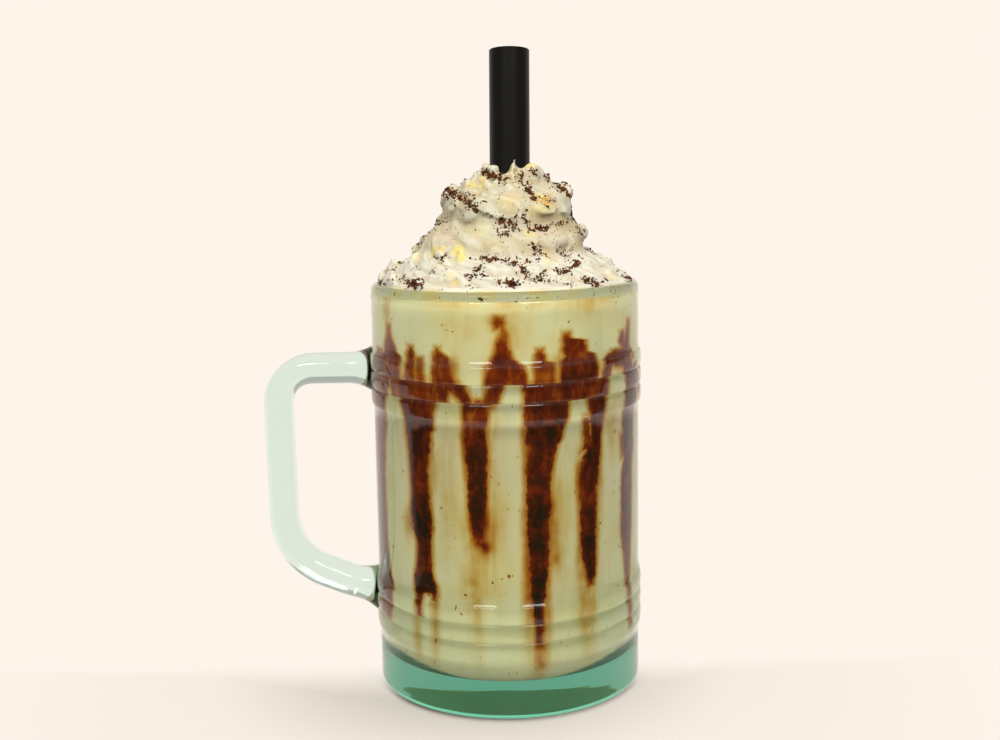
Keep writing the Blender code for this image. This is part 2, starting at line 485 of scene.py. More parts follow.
# ---------------------------------------------------------------- drink and sauce
# Sauce runs on the inside of the glass, as they are seen from the front in a
# picture 1000 wide: (down, left side, right side, depth of sauce) at each place.
RUNS = [
    [(328, 388, 389.5, 0.5), (338, 386, 391, 0.9), (346, 385, 394.5, 1.4), (352, 385, 396, 1.4),
     (357, 383, 400, 1.3), (366, 380, 400, 1.2), (374, 378, 400, 1.3), (378, 376, 401, 1.5)],
    [(352, 378, 382, 0.6), (358, 376, 384, 1.1), (368, 374, 384, 1.2), (380, 373, 390, 1.3)],
    [(376, 370, 389, 1.3), (390, 370, 388, 1.2), (400, 372, 386, 1.2), (420, 373, 386, 1.2),
     (440, 373, 385, 1.1), (470, 374, 384.5, 1.1), (500, 375, 386, 1.1), (530, 376, 387, 1.1),
     (560, 377, 389.5, 1.2), (575, 378, 392, 1.2), (590, 380, 393, 1.0), (600, 381, 393, 0.6),
     (612, 384, 392, 0.3)],
    [(378, 390, 398, 0.8), (392, 394, 399, 0.4)],
    [(379, 398, 424, 0.9), (384, 398.5, 436, 1.3), (392, 399, 437.5, 1.4), (398, 400, 437, 1.7),
     (405, 402, 435.5, 1.9), (412, 404.5, 433.5, 2.0), (420, 406, 432.5, 2.2), (427, 406.5, 433.5, 2.3),
     (431, 407, 430, 2.4), (440, 407.5, 430, 2.6), (450, 408.5, 429, 2.6), (460, 410, 428, 2.2),
     (470, 411, 427, 1.9), (480, 411.5, 428, 1.9), (490, 412, 428.5, 2.0), (500, 412, 429.5, 2.4),
     (510, 411.5, 431, 3.0), (520, 412.5, 431.5, 3.2), (530, 414, 431.5, 3.2), (537, 416, 431, 3.0),
     (545, 418, 431.5, 2.3), (560, 418, 432, 2.2), (570, 416.5, 432.5, 2.4), (577, 415.5, 434, 3.0),
     (584, 415, 437.5, 3.3), (593, 416, 437.5, 3.2)],
    [(590, 416, 426, 3.0), (596, 416.5, 423, 2.2), (605, 417.5, 421.5, 1.6), (614, 419.5, 422.5, 1.2)],
    [(590, 430, 437.5, 3.0), (597, 432.5, 436.5, 1.8), (602, 433, 435.5, 0.8)],
    [(349, 409.5, 412, 1.2), (352, 408, 414, 1.5), (362, 408, 415, 1.4), (372, 407, 416, 1.3),
     (382, 406, 416, 1.3)],
    [(361, 415, 422, 0.7), (370, 415, 423.5, 0.7), (383, 415, 425, 0.9)],
    [(350, 435.5, 438.5, 1.2), (352, 433.5, 441, 1.4), (358, 433, 448.5, 1.4), (363, 433, 450, 1.6),
     (370, 433, 451, 1.6), (378, 432.5, 452, 1.7), (385, 431, 458, 1.9), (390, 431, 455, 2.0)],
    [(386, 437, 449, 2.3), (394, 438, 448, 2.2), (399, 439, 447, 1.8)],
    [(402, 470, 486, 1.8), (407, 463.5, 490, 2.4), (410, 464, 488.5, 1.6), (415, 464.5, 487.5, 1.4),
     (420, 466, 486.5, 1.8), (430, 465, 485, 1.9), (440, 465, 486, 2.0), (450, 465.5, 486.5, 2.4),
     (460, 466.5, 487, 2.6), (470, 467.5, 486.5, 2.6), (490, 468.5, 486, 2.5), (510, 469, 485, 2.7),
     (520, 470, 486, 2.7), (526, 471.5, 485, 2.0), (531, 472, 483, 1.6), (537, 474.5, 481.5, 1.0)],
    [(320, 496, 502, 0.8), (323, 493.5, 503.5, 1.2), (326, 496, 502, 0.8)],
    [(327, 500, 503, 0.6), (331, 501.5, 505, 0.6), (336, 500.5, 506.5, 0.9), (340, 498, 507, 1.3),
     (345, 497, 507.5, 1.6), (350, 496.5, 508.5, 1.6), (355, 495, 510.5, 1.8), (360, 493, 512.5, 2.0),
     (365, 490.5, 518, 2.1), (369, 489, 523, 2.1), (375, 488, 526, 2.0), (384, 486, 527.5, 2.0)],
    [(383, 520, 530, 1.8), (392, 523, 531, 1.8), (400, 524, 531, 1.8)],
    [(383, 528, 556, 1.9), (386, 524, 562, 2.3), (392, 523.5, 568, 2.2), (400, 523.5, 568.5, 2.2),
     (405, 523, 568, 2.4), (412, 524, 567.5, 2.0), (420, 525, 566.5, 2.2), (425, 526, 563.5, 2.6),
     (430, 526.5, 562.5, 2.9), (440, 526, 561, 3.0), (446, 527, 556.5, 2.3), (455, 526.5, 554.5, 2.0),
     (470, 525.5, 552, 2.2), (480, 526, 550.5, 2.2), (490, 527, 549.5, 2.0), (500, 527, 550.5, 2.2),
     (506, 528, 552, 2.8), (511, 528, 551, 3.1), (520, 528, 549, 3.2), (530, 527.5, 549, 3.3),
     (540, 528.5, 548.5, 3.2), (550, 529, 548.5, 3.0), (560, 529.5, 548, 2.8), (570, 529.5, 548, 2.9),
     (580, 530.5, 547.5, 3.0), (590, 532, 546, 3.2), (600, 532.5, 544.8, 3.4), (610, 534, 543.8, 3.4),
     (620, 535, 543.5, 3.2), (624, 536.5, 543, 2.0), (640, 537, 541.8, 1.5), (645, 538, 541, 0.8)],
    [(352, 538, 542, 1.5), (355, 535.5, 544, 1.6), (359, 535.5, 545, 1.5), (363, 536, 546, 1.2),
     (366, 533.5, 553.5, 1.6), (372, 534, 554, 1.1), (378, 535, 553.5, 1.0), (384, 530, 556, 1.6)],
    [(336, 564.5, 568.5, 1.2), (339, 563.5, 571, 1.5), (340, 564, 585, 1.6), (344, 564.5, 585, 1.8),
     (349, 563, 586, 1.8), (352, 565, 586, 1.7), (356, 567, 594, 1.5), (360, 563.5, 595, 1.8),
     (366, 562, 596.5, 2.6), (372, 561.5, 597, 2.8), (380, 560.5, 597, 2.6), (386, 560, 598, 2.2),
     (392, 560, 600, 2.2), (397, 562, 604, 2.4)],
    [(397, 560, 571, 2.2), (402, 560, 569, 2.4)],
    [(372, 602, 608, 1.4), (380, 598, 607.5, 1.5), (388, 594, 607, 1.8), (395, 588, 606.5, 2.2),
     (400, 587.5, 605.5, 2.4), (408, 589, 604, 2.4), (415, 590, 603, 2.3), (425, 591, 601, 2.0),
     (440, 592, 600.3, 2.4), (448, 587, 600, 2.6), (455, 583.5, 599.5, 2.6), (465, 581, 598.5, 2.4),
     (480, 579.5, 597, 2.0), (490, 579.5, 596, 1.8), (500, 580, 596, 1.8), (510, 580, 596, 2.2),
     (530, 580.5, 596, 2.6), (545, 581.5, 596, 2.8), (558, 583, 595.8, 3.0), (566, 585.5, 595, 3.0),
     (575, 587, 594, 2.8), (582, 589, 592, 1.4)],
    [(417, 583.5, 588, 1.2), (425, 583, 589, 1.3), (435, 583.5, 589, 1.2), (442, 584, 591, 1.0),
     (448, 583, 592, 1.8)],
    [(322, 627.5, 628.8, 0.6), (332, 626, 628.8, 0.9), (340, 624, 628.5, 1.1), (352, 624, 628, 1.3)],
    [(334, 620.5, 623, 1.2), (340, 618.8, 624, 1.3), (347, 621, 625, 1.0)],
    [(351, 612, 629, 0.9), (355, 608, 631, 1.4), (359, 606, 632, 2.0)],
    [(366, 622, 633, 2.0), (375, 625, 634, 2.2), (385, 625.5, 634, 1.8), (395, 624.5, 634.5, 2.2),
     (405, 623, 632.5, 2.0), (420, 622, 632, 1.9), (440, 623, 632.5, 1.9), (455, 624, 632, 1.8),
     (470, 621.5, 631, 1.8), (500, 621, 631, 1.7), (530, 621, 630.5, 1.6), (550, 623, 629.8, 1.4),
     (570, 625, 629.5, 1.1), (590, 626, 629, 0.9), (610, 627.5, 630, 0.6), (622, 628, 630, 0.3)],
    [(435, 620.5, 623, 0.7), (455, 621, 623.5, 0.7)],
]
# Swags between the runs: (across, down, half width, depth) along each.
SWAGS = [
    [(386, 377, 1.5, 1.8), (400, 380, 1.7, 1.9), (415, 381.5, 1.5, 1.8), (426, 385, 1.8, 1.7)],
    [(446, 384, 4, 2.2), (456, 388, 5, 2.2), (463, 395, 4.5, 2.0), (469, 402, 4, 2.3), (478, 406.5, 3.5, 2.6)],
    [(478, 406.5, 3.5, 2.4), (488, 403, 5, 2.4), (494, 394, 5.5, 1.9), (498, 386, 5, 1.9)],
    [(604, 379, 3, 1.6), (606, 369, 4.5, 2.0), (611, 361, 5.5, 2.3), (620, 360, 6, 2.3), (628, 365, 5, 2.2), (630, 375, 4, 2.2)],
    [(478, 542, 1.2, 1.2), (479, 544, 1.2, 1.2)],
    [(483, 545, 1.2, 1.3), (486, 549, 1.0, 1.3)],
]
# Where the sauce is thin or the drink is stained: (across, down, half width, half height, depth)
STAINS = [
    (479, 528, 15, 16, 0.38), (483, 546, 11, 10, 0.35), (470, 582, 10, 26, 0.22),
    (477, 610, 6, 46, 0.22), (524, 438, 4, 16, 0.6), (525, 525, 4, 26, 0.5), (526, 575, 4, 30, 0.42),
    (553, 525, 5, 34, 0.32), (555, 558, 5, 8, 0.35), (409, 520, 4, 14, 0.42), (411, 480, 3, 20, 0.35),
    (433, 470, 4, 24, 0.3), (436, 620, 4, 24, 0.5), (418, 632, 4, 22, 0.4), (540, 658, 7, 18, 0.6),
    (586, 612, 8, 34, 0.32), (580, 560, 4, 30, 0.38), (578, 480, 3, 24, 0.4), (465, 440, 4, 30, 0.5),
    (495, 322, 8, 6, 0.45), (512, 332, 14, 18, 0.22), (520, 300, 28, 6, 0.2), (455, 328, 24, 12, 0.10),
    (450, 300, 22, 5, 0.22), (588, 300, 20, 10, 0.25), (486, 380, 4, 10, 0.5), (428, 380, 6, 8, 0.35),
    (455, 372, 4, 14, 0.4), (558, 372, 5, 12, 0.35), (612, 425, 6, 26, 0.28), (600, 460, 4, 60, 0.22),
    (548, 610, 4, 30, 0.45), (527, 610, 5, 34, 0.4), (386, 310, 3, 20, 0.35), (498, 500, 10, 90, 0.12),
    (448, 480, 8, 60, 0.16), (560, 540, 8, 60, 0.10), (568, 348, 6, 12, 0.3), (500, 360, 8, 14, 0.5),
    (635, 400, 3, 20, 0.2), (400, 372, 5, 8, 0.3),
]
# Thinner spots inside the runs, where the drink glows through: (across, down, half width, half height, share left)
THIN = [
    (469, 417, 3.5, 4, 0.28), (494, 375, 5.5, 6, 0.4), (543, 376, 8, 5, 0.6), (582, 355, 5, 4, 0.45),
    (589, 352, 3, 3, 0.5), (553, 391, 4, 8, 0.5), (558, 396, 3, 6, 0.6), (414, 388, 5, 7, 0.7),
    (435, 372, 2, 12, 0.55), (420, 466, 3, 12, 0.55), (417, 485, 3, 12, 0.6), (540, 392, 6, 6, 0.7),
    (592, 388, 4, 5, 0.6), (532, 458, 4, 14, 0.7), (584, 500, 3, 12, 0.65), (470, 430, 3, 10, 0.6),
    (446, 374, 3, 8, 0.7), (599, 384, 3, 5, 0.7), (503, 333, 3, 6, 0.6), (520, 395, 3, 8, 0.7),
]


def wall_columns():
    """Angles round the drink in degrees from the front, closer together on the front half."""
    front = np.linspace(-100, 100, 361)
    back = np.linspace(100, 260, 81)[1:-1]
    return np.concatenate([front, back])


def wall_rows():
    low = FLOOR_T + FLOOR_CORNER_R - REACH
    knots = [
        (low, 28 * MM, 16), (28 * MM, 84 * MM, 88), (84 * MM, 108 * MM, 70), (108 * MM, DRINK_TOP, 18),
    ]
    rows = [np.linspace(a, b, n, endpoint=False) for a, b, n in knots]
    return np.concatenate(rows + [np.array([DRINK_TOP])])


def wobble(a, z, scale, seed):
    """Seeded ragged noise for the sauce's edges, in the plane of the wall."""
    out = np.empty(a.shape)
    flat_a, flat_z, flat = a.ravel(), z.ravel(), out.ravel()
    for i in range(flat_a.size):
        flat[i] = noise.noise(Vector((flat_a[i] / scale, flat_z[i] / scale, seed)))
    return out


def sauce_fields():
    """Over the wall grid: distance inside the sauce's edge, its depth there, and the stains."""
    cols = wall_columns()
    corner = [FLOOR_T + FLOOR_CORNER_R - (FLOOR_CORNER_R + REACH) * math.sin(math.radians(a)) for a in range(81, 0, -9)]
    rows = np.concatenate([corner, wall_rows()])
    wide = np.radians(cols) * 36.3  # millimetres round the wall
    tall = rows * 1000
    W, Z = np.meshgrid(wide, tall)
    round_mm = 2 * np.pi * 36.3

    def offset(w):  # shortest way round the mug
        return (W - w + round_mm / 2) % round_mm - round_mm / 2

    coarse = wobble(W, Z, 2.6, 3.1)
    broad = wobble(W, Z, 9.0, 5.9)
    state = {"edge": np.full(W.shape, -9.0), "depth": np.zeros(W.shape)}

    def lay(inside, amount):
        nearer = inside > state["edge"]
        state["depth"] = np.where(nearer, amount, state["depth"])
        state["edge"] = np.maximum(state["edge"], inside)

    def lay_spans(spans):
        zs, ls, rs, ds = [], [], [], []
        for y, xl, xr, d in spans:
            (al, zl), (ar, zr) = on_wall(xl, y), on_wall(xr, y)
            zs.append((zl + zr) * 500)
            ls.append(math.radians(al) * 36.3)
            rs.append(math.radians(ar) * 36.3)
            ds.append(d)
        order = np.argsort(zs)
        zs, ls, rs, ds = (np.array(v)[order] for v in (zs, ls, rs, ds))
        left = np.interp(Z, zs, ls)
        right = np.interp(Z, zs, rs)
        amount = np.interp(Z, zs, ds)
        middle = (left + right) / 2
        half = (right - left) / 2
        off = np.abs((W - middle + round_mm / 2) % round_mm - round_mm / 2)
        inside = half - off
        inside = np.minimum(inside, Z - zs[0] + 0.4)
        inside = np.minimum(inside, zs[-1] - Z + 0.4)
        lay(inside, amount)

    def lay_strokes(points):
        placed = []
        for x, y, half, d in points:
            a, z = on_wall(x, y)
            placed.append((math.radians(a) * 36.3, z * 1000, half * 0.3, d))
        lay_path(placed)

    def lay_path(placed):
        for (w0, z0, h0, d0), (w1, z1, h1, d1) in zip(placed, placed[1:]):
            dw = (w1 - w0 + round_mm / 2) % round_mm - round_mm / 2
            dz = z1 - z0
            length = dw * dw + dz * dz + 1e-9
            t = np.clip((offset(w0) * dw + (Z - z0) * dz) / length, 0, 1)
            away = np.hypot(offset(w0) - t * dw, Z - z0 - t * dz)
            lay(h0 + (h1 - h0) * t - away, d0 + (d1 - d0) * t)

    for spans in RUNS:
        lay_spans(spans)
    for points in SWAGS:
        lay_strokes(points)

    # The side away from the front is finished in the same way.
    rng = random.Random(21)
    a = 86.0
    previous = (math.radians(73) * 36.3, 96.0)
    while a < 262:
        w = math.radians(a) * 36.3
        top = rng.uniform(96, 108)
        band = rng.uniform(87, 94)
        long = rng.choice((26, 36, 46, 58, 68)) + rng.uniform(-5, 5)
        half = rng.uniform(1.0, 3.5)
        drop = rng.uniform(1.5, 10.0)  # how far the end tapers
        path = [
            (w + rng.uniform(-1.4, 1.4), top, 0.4, 0.9),
            (w + rng.uniform(-0.8, 0.8), top - rng.uniform(2, 5), half * rng.uniform(0.5, 0.9), 1.5),
            (w, band, half * rng.uniform(1.1, 1.5), 2.1),
        ]
        z = band
        while z - 9 > long + drop:
            z -= rng.uniform(6, 9)
            path.append((w + rng.uniform(-0.7, 0.7), z, half * rng.uniform(0.6, 1.15), rng.uniform(1.9, 3.0)))
        path.append((w + rng.uniform(-0.6, 0.6), long + drop, half * rng.uniform(0.6, 1.0), 3.1))
        path.append((w + rng.uniform(-0.8, 0.8), long, rng.uniform(0.35, 0.9), 2.2))
        lay_path(path)
        if rng.random() < 0.6:  # a thinner patch beside it, above the band
            side = rng.choice((-1, 1)) * rng.uniform(2.0, 4.0)
            lay_path([
                (w + side, band + rng.uniform(4, 10), rng.uniform(0.8, 2.0), 1.3), (w + side, band, 2.2, 1.8),
            ])
        pw, pb = previous
        low = min(pb, band) - rng.uniform(-1, 5)
        lay_path([
            (pw, pb, rng.uniform(1.3, 2.8), 2.0), ((pw + w) / 2, low, rng.uniform(0.7, 1.9), 1.9),
            (w, band, rng.uniform(1.3, 2.8), 2.0),
        ])
        previous = (w, band)
        a += rng.uniform(11, 19)

    edge, depth = state["edge"], state["depth"]
    # a faint stain spreads from the sauce, and there are broader ones between
    stain = np.clip((edge + 1.9) / 1.9, 0, 1) ** 1.6 * 0.60
    for x, y, hw, hh, d in STAINS:
        ang, z = on_wall(x, y)
        ax, zx = on_wall(x + hw, y)
        w = math.radians(ang) * 36.3
        sw = max(abs(math.radians(ax - ang)) * 36.3, 0.8)
        sz = hh * 0.3
        r = (offset(w) / sw) ** 2 + ((Z - z * 1000) / sz) ** 2
        stain = stain + d * np.exp(-r * 0.9) * (1 + 0.5 * coarse)
    for a in range(105, 256, 13):
        w = math.radians(a + 5 * math.sin(a)) * 36.3
        r = (offset(w) / 2.2) ** 2 + ((Z - 50) / 40) ** 2
        stain = stain + 0.22 * np.exp(-r)
    for x, y, hw, hh, keep in THIN:
        ang, z = on_wall(x, y)
        r = (offset(math.radians(ang) * 36.3) / (hw * 0.3)) ** 2 + ((Z - z * 1000) / (hh * 0.3)) ** 2
        depth = depth * (1 - (1 - keep) * np.exp(-r * 0.8))
    stain = stain + 0.06 * np.clip(broad + 0.2, 0, 1)
    return cols, rows, np.clip(edge, -3, 3), np.maximum(depth, 0), np.clip(stain, 0, 1.2)


def drink_material():
    m = Nodes("milkshake_with_sauce")
    edge, depth, stain = m.attribute("edge"), m.attribute("sauce"), m.attribute("stain")
    ragged = m.noise(1.0, 5.0, 0.62, m.coords((520, 520, 420)))
    blotch = m.noise(1.0, 4.0, 0.62, m.coords((380, 380, 230)))
    grain = m.noise(1.0, 4.0, 0.6, m.coords((1500, 1500, 1100)))
    streak = m.noise(1.0, 4.0, 0.55, m.coords((230, 230, 30)), 0.4)
    cloud = m.noise(1.0, 3.0, 0.5, m.coords((75, 75, 50)))
    # how far inside the ragged edge, in millimetres
    inside = m.math("ADD", edge, m.math("MULTIPLY", m.math("SUBTRACT", ragged, 0.5), 2.7))
    cover = m.remap(inside, -0.32, 0.36)
    body = m.remap(inside, -0.2, 1.7, 0.50, 1.0)
    spots = m.remap(blotch, 0.34, 0.60, 0.56, 1.2)
    fine = m.remap(grain, 0.3, 0.7, 0.80, 1.2, smooth=False)
    thick = m.math("MULTIPLY", m.math("MULTIPLY", depth, cover), m.math("MULTIPLY", m.math("MULTIPLY", spots, fine), body))
    soft = m.math("MULTIPLY", stain, m.remap(streak, 0.3, 0.7, 0.35, 1.25, smooth=False))
    lines = m.math("MULTIPLY", m.remap(streak, 0.56, 0.8), 0.08)
    # it is thinner above and in the ribs, where it has run down
    spot = m.node("ShaderNodeSeparateXYZ")
    m.link(m.coords(), spot.inputs[0])
    thick = m.math("MULTIPLY", thick, m.remap(spot.outputs[2], 0.080, 0.094, 1.0, 0.70))
    dots = m.remap(m.noise(1.0, 2.0, 0.6, m.coords((780, 780, 560)), 0.3), 0.66, 0.73)
    where = m.remap(m.noise(1.0, 2.0, 0.5, m.coords((110, 110, 90)), 0.2), 0.50, 0.62)
    lines = m.math("ADD", lines, m.math("MULTIPLY", m.math("MULTIPLY", dots, where), 0.9))
    # a thin amber film borders the runs
    lines = m.math("ADD", lines, m.remap(inside, -1.3, 0.0, 0.0, 0.13))
    total = m.math("ADD", m.math("ADD", thick, soft), lines)
    parts = m.node("ShaderNodeSeparateXYZ")
    m.link(m.coords(), parts.inputs[0])
    # painted light and shade by height: the drink's colour is painted paler towards the top and darker low down, as the
    # light from above falls on it
    high = m.remap(parts.outputs[2], 0.092, 0.106)
    low = m.remap(parts.outputs[2], 0.042, 0.024)
    milk = m.mix(m.remap(cloud, 0.35, 0.65), (0.835, 0.704, 0.372), (0.845, 0.730, 0.474))
    milk = m.mix(low, milk, (0.715, 0.640, 0.388))
    milk = m.mix(high, milk, m.mix(m.remap(cloud, 0.35, 0.65), (0.990, 0.835, 0.470), (0.990, 0.870, 0.560)))
    # little light reaches the underside, where it curves in to the thick base
    milk = m.mix(m.attribute("shade"), milk, (0.075, 0.230, 0.140))
    split = m.node("ShaderNodeSeparateColor")
    m.link(milk, split.inputs[0])
    join = m.node("ShaderNodeCombineColor")
    # light passes the sauce twice, so each colour falls off by its own power
    for i, (base, haze) in enumerate(((0.407, 0.010), (0.0907, 0.0135), (0.0067, 0.0038))):
        fall = m.math("POWER", base, total)
        m.link(m.math("MULTIPLY_ADD", fall, split.outputs[i], haze), join.inputs[i])
    m.set(Base_Color=join.outputs[0], Metallic=0.0)
    m.put(m.bsdf.inputs["Roughness"], m.math("MULTIPLY_ADD", grain, 0.25, 0.40))
    m.put(m.bsdf.inputs["Specular IOR Level"], 0.0)
    m.bump(grain, 0.15, 0.0002)
    return m.mat


def make_drink():
    cols, rows, edge, depth, stain = sauce_fields()
    ang = np.radians(cols)
    verts = []
    fields = {"edge": [], "sauce": [], "stain": [], "shade": []}
    corner = FLOOR_CORNER_R
    cr, cz = INNER_R_LOW - corner, FLOOR_T + corner
    n = len(cols)
    off_front = np.abs((cols + 180) % 360 - 180)
    off_front = np.minimum(off_front, 180 - off_front)  # the back is as the front
    dark_to = (FLOOR_T / MM + 0.25) + 4.6 * np.clip((off_front - 16) / 40, 0, 1) ** 1.2
    # floor, then the rounded corner, then the wall
    flat = [8 * MM, 18 * MM, cr]
    for r in flat:
        for j in range(n):
            verts.append((r * math.sin(ang[j]), -r * math.cos(ang[j]), FLOOR_T - REACH))
        fields["edge"] += [-3.0] * n
        fields["sauce"] += [0.0] * n
        fields["stain"] += list(stain[0] * 0.5)
        fields["shade"] += [0.72] * n
    for i, z in enumerate(rows):
        if z < cz - REACH * 1.01:
            down = min(1.0, (cz - z) / (corner + REACH))
            r = cr + (corner + REACH) * math.sqrt(max(0.0, 1 - down * down))
        else:
            r = inner_radius(z) + REACH
        for j in range(n):
            verts.append((r * math.sin(ang[j]), -r * math.cos(ang[j]), z))
        fields["edge"] += list(edge[i])
        fields["sauce"] += list(depth[i])
        fields["stain"] += list(stain[i])
        fields["shade"] += list(np.clip((dark_to - z / MM) / 0.8 + 0.5, 0, 1) * smooth_step((z - FLOOR_T) / (0.0004)))
    total = len(flat) + len(rows)
    faces = grid_faces(total, n)
    low, high = len(verts), len(verts) + 1
    verts += [(0, 0, FLOOR_T - REACH), (0, 0, DRINK_TOP)]
    for key, value in (("edge", -3.0), ("sauce", 0.0), ("stain", 0.0), ("shade", 0.0)):
        fields[key] += [value, value]
    last = (total - 1) * n
    for j in range(n):
        k = (j + 1) % n
        faces.append((low, k, j))
        faces.append((high, last + j, last + k))
    drink = new_object("milkshake_fill", verts, faces, drink_material())
    for name, values in fields.items():
        att = drink.data.attributes.new(name, "FLOAT", "POINT")
        att.data.foreach_set("value", np.array(values, dtype=np.float32))
    drink.data.set_sharp_from_angle(angle=math.radians(50))
    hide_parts("milkshake")
    return drink


# ---------------------------------------------------------------- whipped cream
def cream_material():
    m = Nodes("whipped_cream")
    blot = m.noise(1.0, 2.0, 0.5, m.coords((125, 125, 125)))
    warm = m.noise(1.0, 1.0, 0.5, m.coords((85, 85, 85)))
    fine = m.noise(1.0, 5.0, 0.6, m.coords((1500, 1500, 1500)))
    base = m.ramp(
        blot,
        [(0.32, (0.398, 0.350, 0.202)), (0.45, (0.408, 0.368, 0.240)), (0.56, (0.420, 0.408, 0.302)), (0.68, (0.465, 0.470, 0.368))],
    )
    peach = m.math("MULTIPLY", m.math("SUBTRACT", warm, 0.52, clamp=True), 5.0, clamp=True)
    base = m.mix(m.math("MULTIPLY", peach, 0.6), base, (0.480, 0.395, 0.275))
    # the lowest turn is the whitest
    tall = m.node("ShaderNodeSeparateXYZ")
    m.link(m.coords(), tall.inputs[0])
    base = m.mix(m.remap(tall.outputs[2], 0.134, 0.129, 0.0, 0.60), base, (0.555, 0.555, 0.500))
    # painted light and shade: the ridges are painted whiter and the folds between them darker and yellower
    crest = m.attribute("crest")
    base = m.mix(m.remap(crest, 0.54, 0.85, 0.0, 0.45), base, (0.530, 0.535, 0.450))
    base = m.mix(m.remap(crest, 0.46, 0.20, 0.0, 0.50), base, (0.430, 0.370, 0.235))
    yellow = m.math("MULTIPLY", m.attribute("butter"), 1.0, clamp=True)
    base = m.mix(yellow, base, (0.60, 0.50, 0.16))
    # against the glass it has run together with the drink, and there it is painted as pale as it can be, painted light
    # that makes up for the light the green rim takes
    parts = m.node("ShaderNodeSeparateXYZ")
    m.link(m.coords(), parts.inputs[0])
    wet_and_painted_light = m.remap(parts.outputs[2], 0.1226, 0.1214)
    base = m.mix(wet_and_painted_light, base, m.mix(m.remap(blot, 0.42, 0.56), (1.0, 0.800, 0.360), (1.0, 0.865, 0.580)))
    m.set(Base_Color=base, Metallic=0.0)
    m.put(m.bsdf.inputs["Roughness"], m.math("MULTIPLY_ADD", fine, 0.25, 0.40))
    m.put(m.bsdf.inputs["Specular IOR Level"], 0.25)
    m.put(m.bsdf.inputs["Subsurface Weight"], 0.5)
    m.bsdf.inputs["Subsurface Radius"].default_value = (1.0, 0.75, 0.5)
    m.bsdf.inputs["Subsurface Scale"].default_value = 0.0030
    m.bump(fine, 0.25, 0.0002)
    return m.mat


def sweep(points, sections, count):
    """A closed rope through the points. sections gives for each (radial reach, vertical reach, flute phase)."""
    verts = []
    total = len(points)
    for i, p in enumerate(points):
        a = points[max(i - 1, 0)]
        b = points[min(i + 1, total - 1)]
        along = (b - a).normalized()
        side = along.cross(Vector((0, 0, 1)))
        side = side.normalized() if side.length > 1e-6 else Vector((1, 0, 0))
        up = side.cross(along).normalized()
        wide, tall, phase, flute = sections[i]
        for k in range(count):
            t = math.tau * k / count
            r = 1 + flute * math.cos(7 * t + phase)
            verts.append(p + side * (wide * r * math.cos(t)) + up * (tall * r * math.sin(t)))
    faces = grid_faces(total, count)
    faces.append(tuple(range(count))[::-1])
    last = (total - 1) * count
    faces.append(tuple(last + k for k in range(count)))
    return verts, faces


def blob(centre, size, turn=None, steps=16):
    """An egg-shaped lump. size is its half lengths."""
    verts, faces = [], []
    rings = steps // 2
    for i in range(1, rings):
        t = math.pi * i / rings
        for k in range(steps):
            a = math.tau * k / steps
            verts.append(Vector((math.sin(t) * math.cos(a), math.sin(t) * math.sin(a), math.cos(t))))
    faces = grid_faces(rings - 1, steps)
    faces = [f[::-1] for f in faces]
    top, low = len(verts), len(verts) + 1
    verts += [Vector((0, 0, 1)), Vector((0, 0, -1))]
    last = (rings - 2) * steps
    for k in range(steps):
        j = (k + 1) % steps
        faces.append((top, k, j))
        faces.append((low, last + j, last + k))
    scaled = [Vector((v.x * size[0], v.y * size[1], v.z * size[2])) for v in verts]
    if turn is not None:
        scaled = [turn @ v for v in scaled]
    return [v + centre for v in scaled], faces


def wisp(base, tip, radius, bend, steps=14):
    """A pulled-up peak: a cone that narrows to a curved tip."""
    points, sections = [], []
    for i in range(steps):
        s = i / (steps - 1)
        p = base.lerp(tip, s) + bend * math.sin(math.pi * s) * 0.5 + bend * s * s
        points.append(p)
        r = radius * (1 - s) ** 0.8 + 0.25 * MM
        sections.append((r, r, 0.0, 0.06))
    verts = []
    for p, (r, _, _, flute) in zip(points, sections):
        for k in range(14):
            t = math.tau * k / 14
            q = r * (1 + flute * math.cos(3 * t))
            verts.append(p + Vector((q * math.cos(t), q * math.sin(t), 0)))
    faces = grid_faces(steps, 14)
    faces.append(tuple(range(14))[::-1])
    last = (steps - 1) * 14
    faces.append(tuple(last + k for k in range(14)))
    return verts, faces


HEAP = [
    # (radius, height) in mm of the outline, from the drink up to the peak
    (36.6, 118.9), (36.65, 120.2), (36.9, 121.2), (37.6, 122.1), (37.7, 122.8), (35.9, 124.6), (33.4, 126.6),
    (30.6, 128.8), (27.6, 130.6), (25.6, 131.8), (24.6, 133.2), (24.0, 135.2), (23.2, 137.2), (21.4, 139.0),
    (19.6, 140.4), (18.9, 141.8), (19.3, 143.6), (19.5, 145.6), (18.4, 148.0), (15.6, 149.9), (12.6, 151.2),
    (10.6, 152.2), (9.6, 153.0), (8.8, 153.6),
]


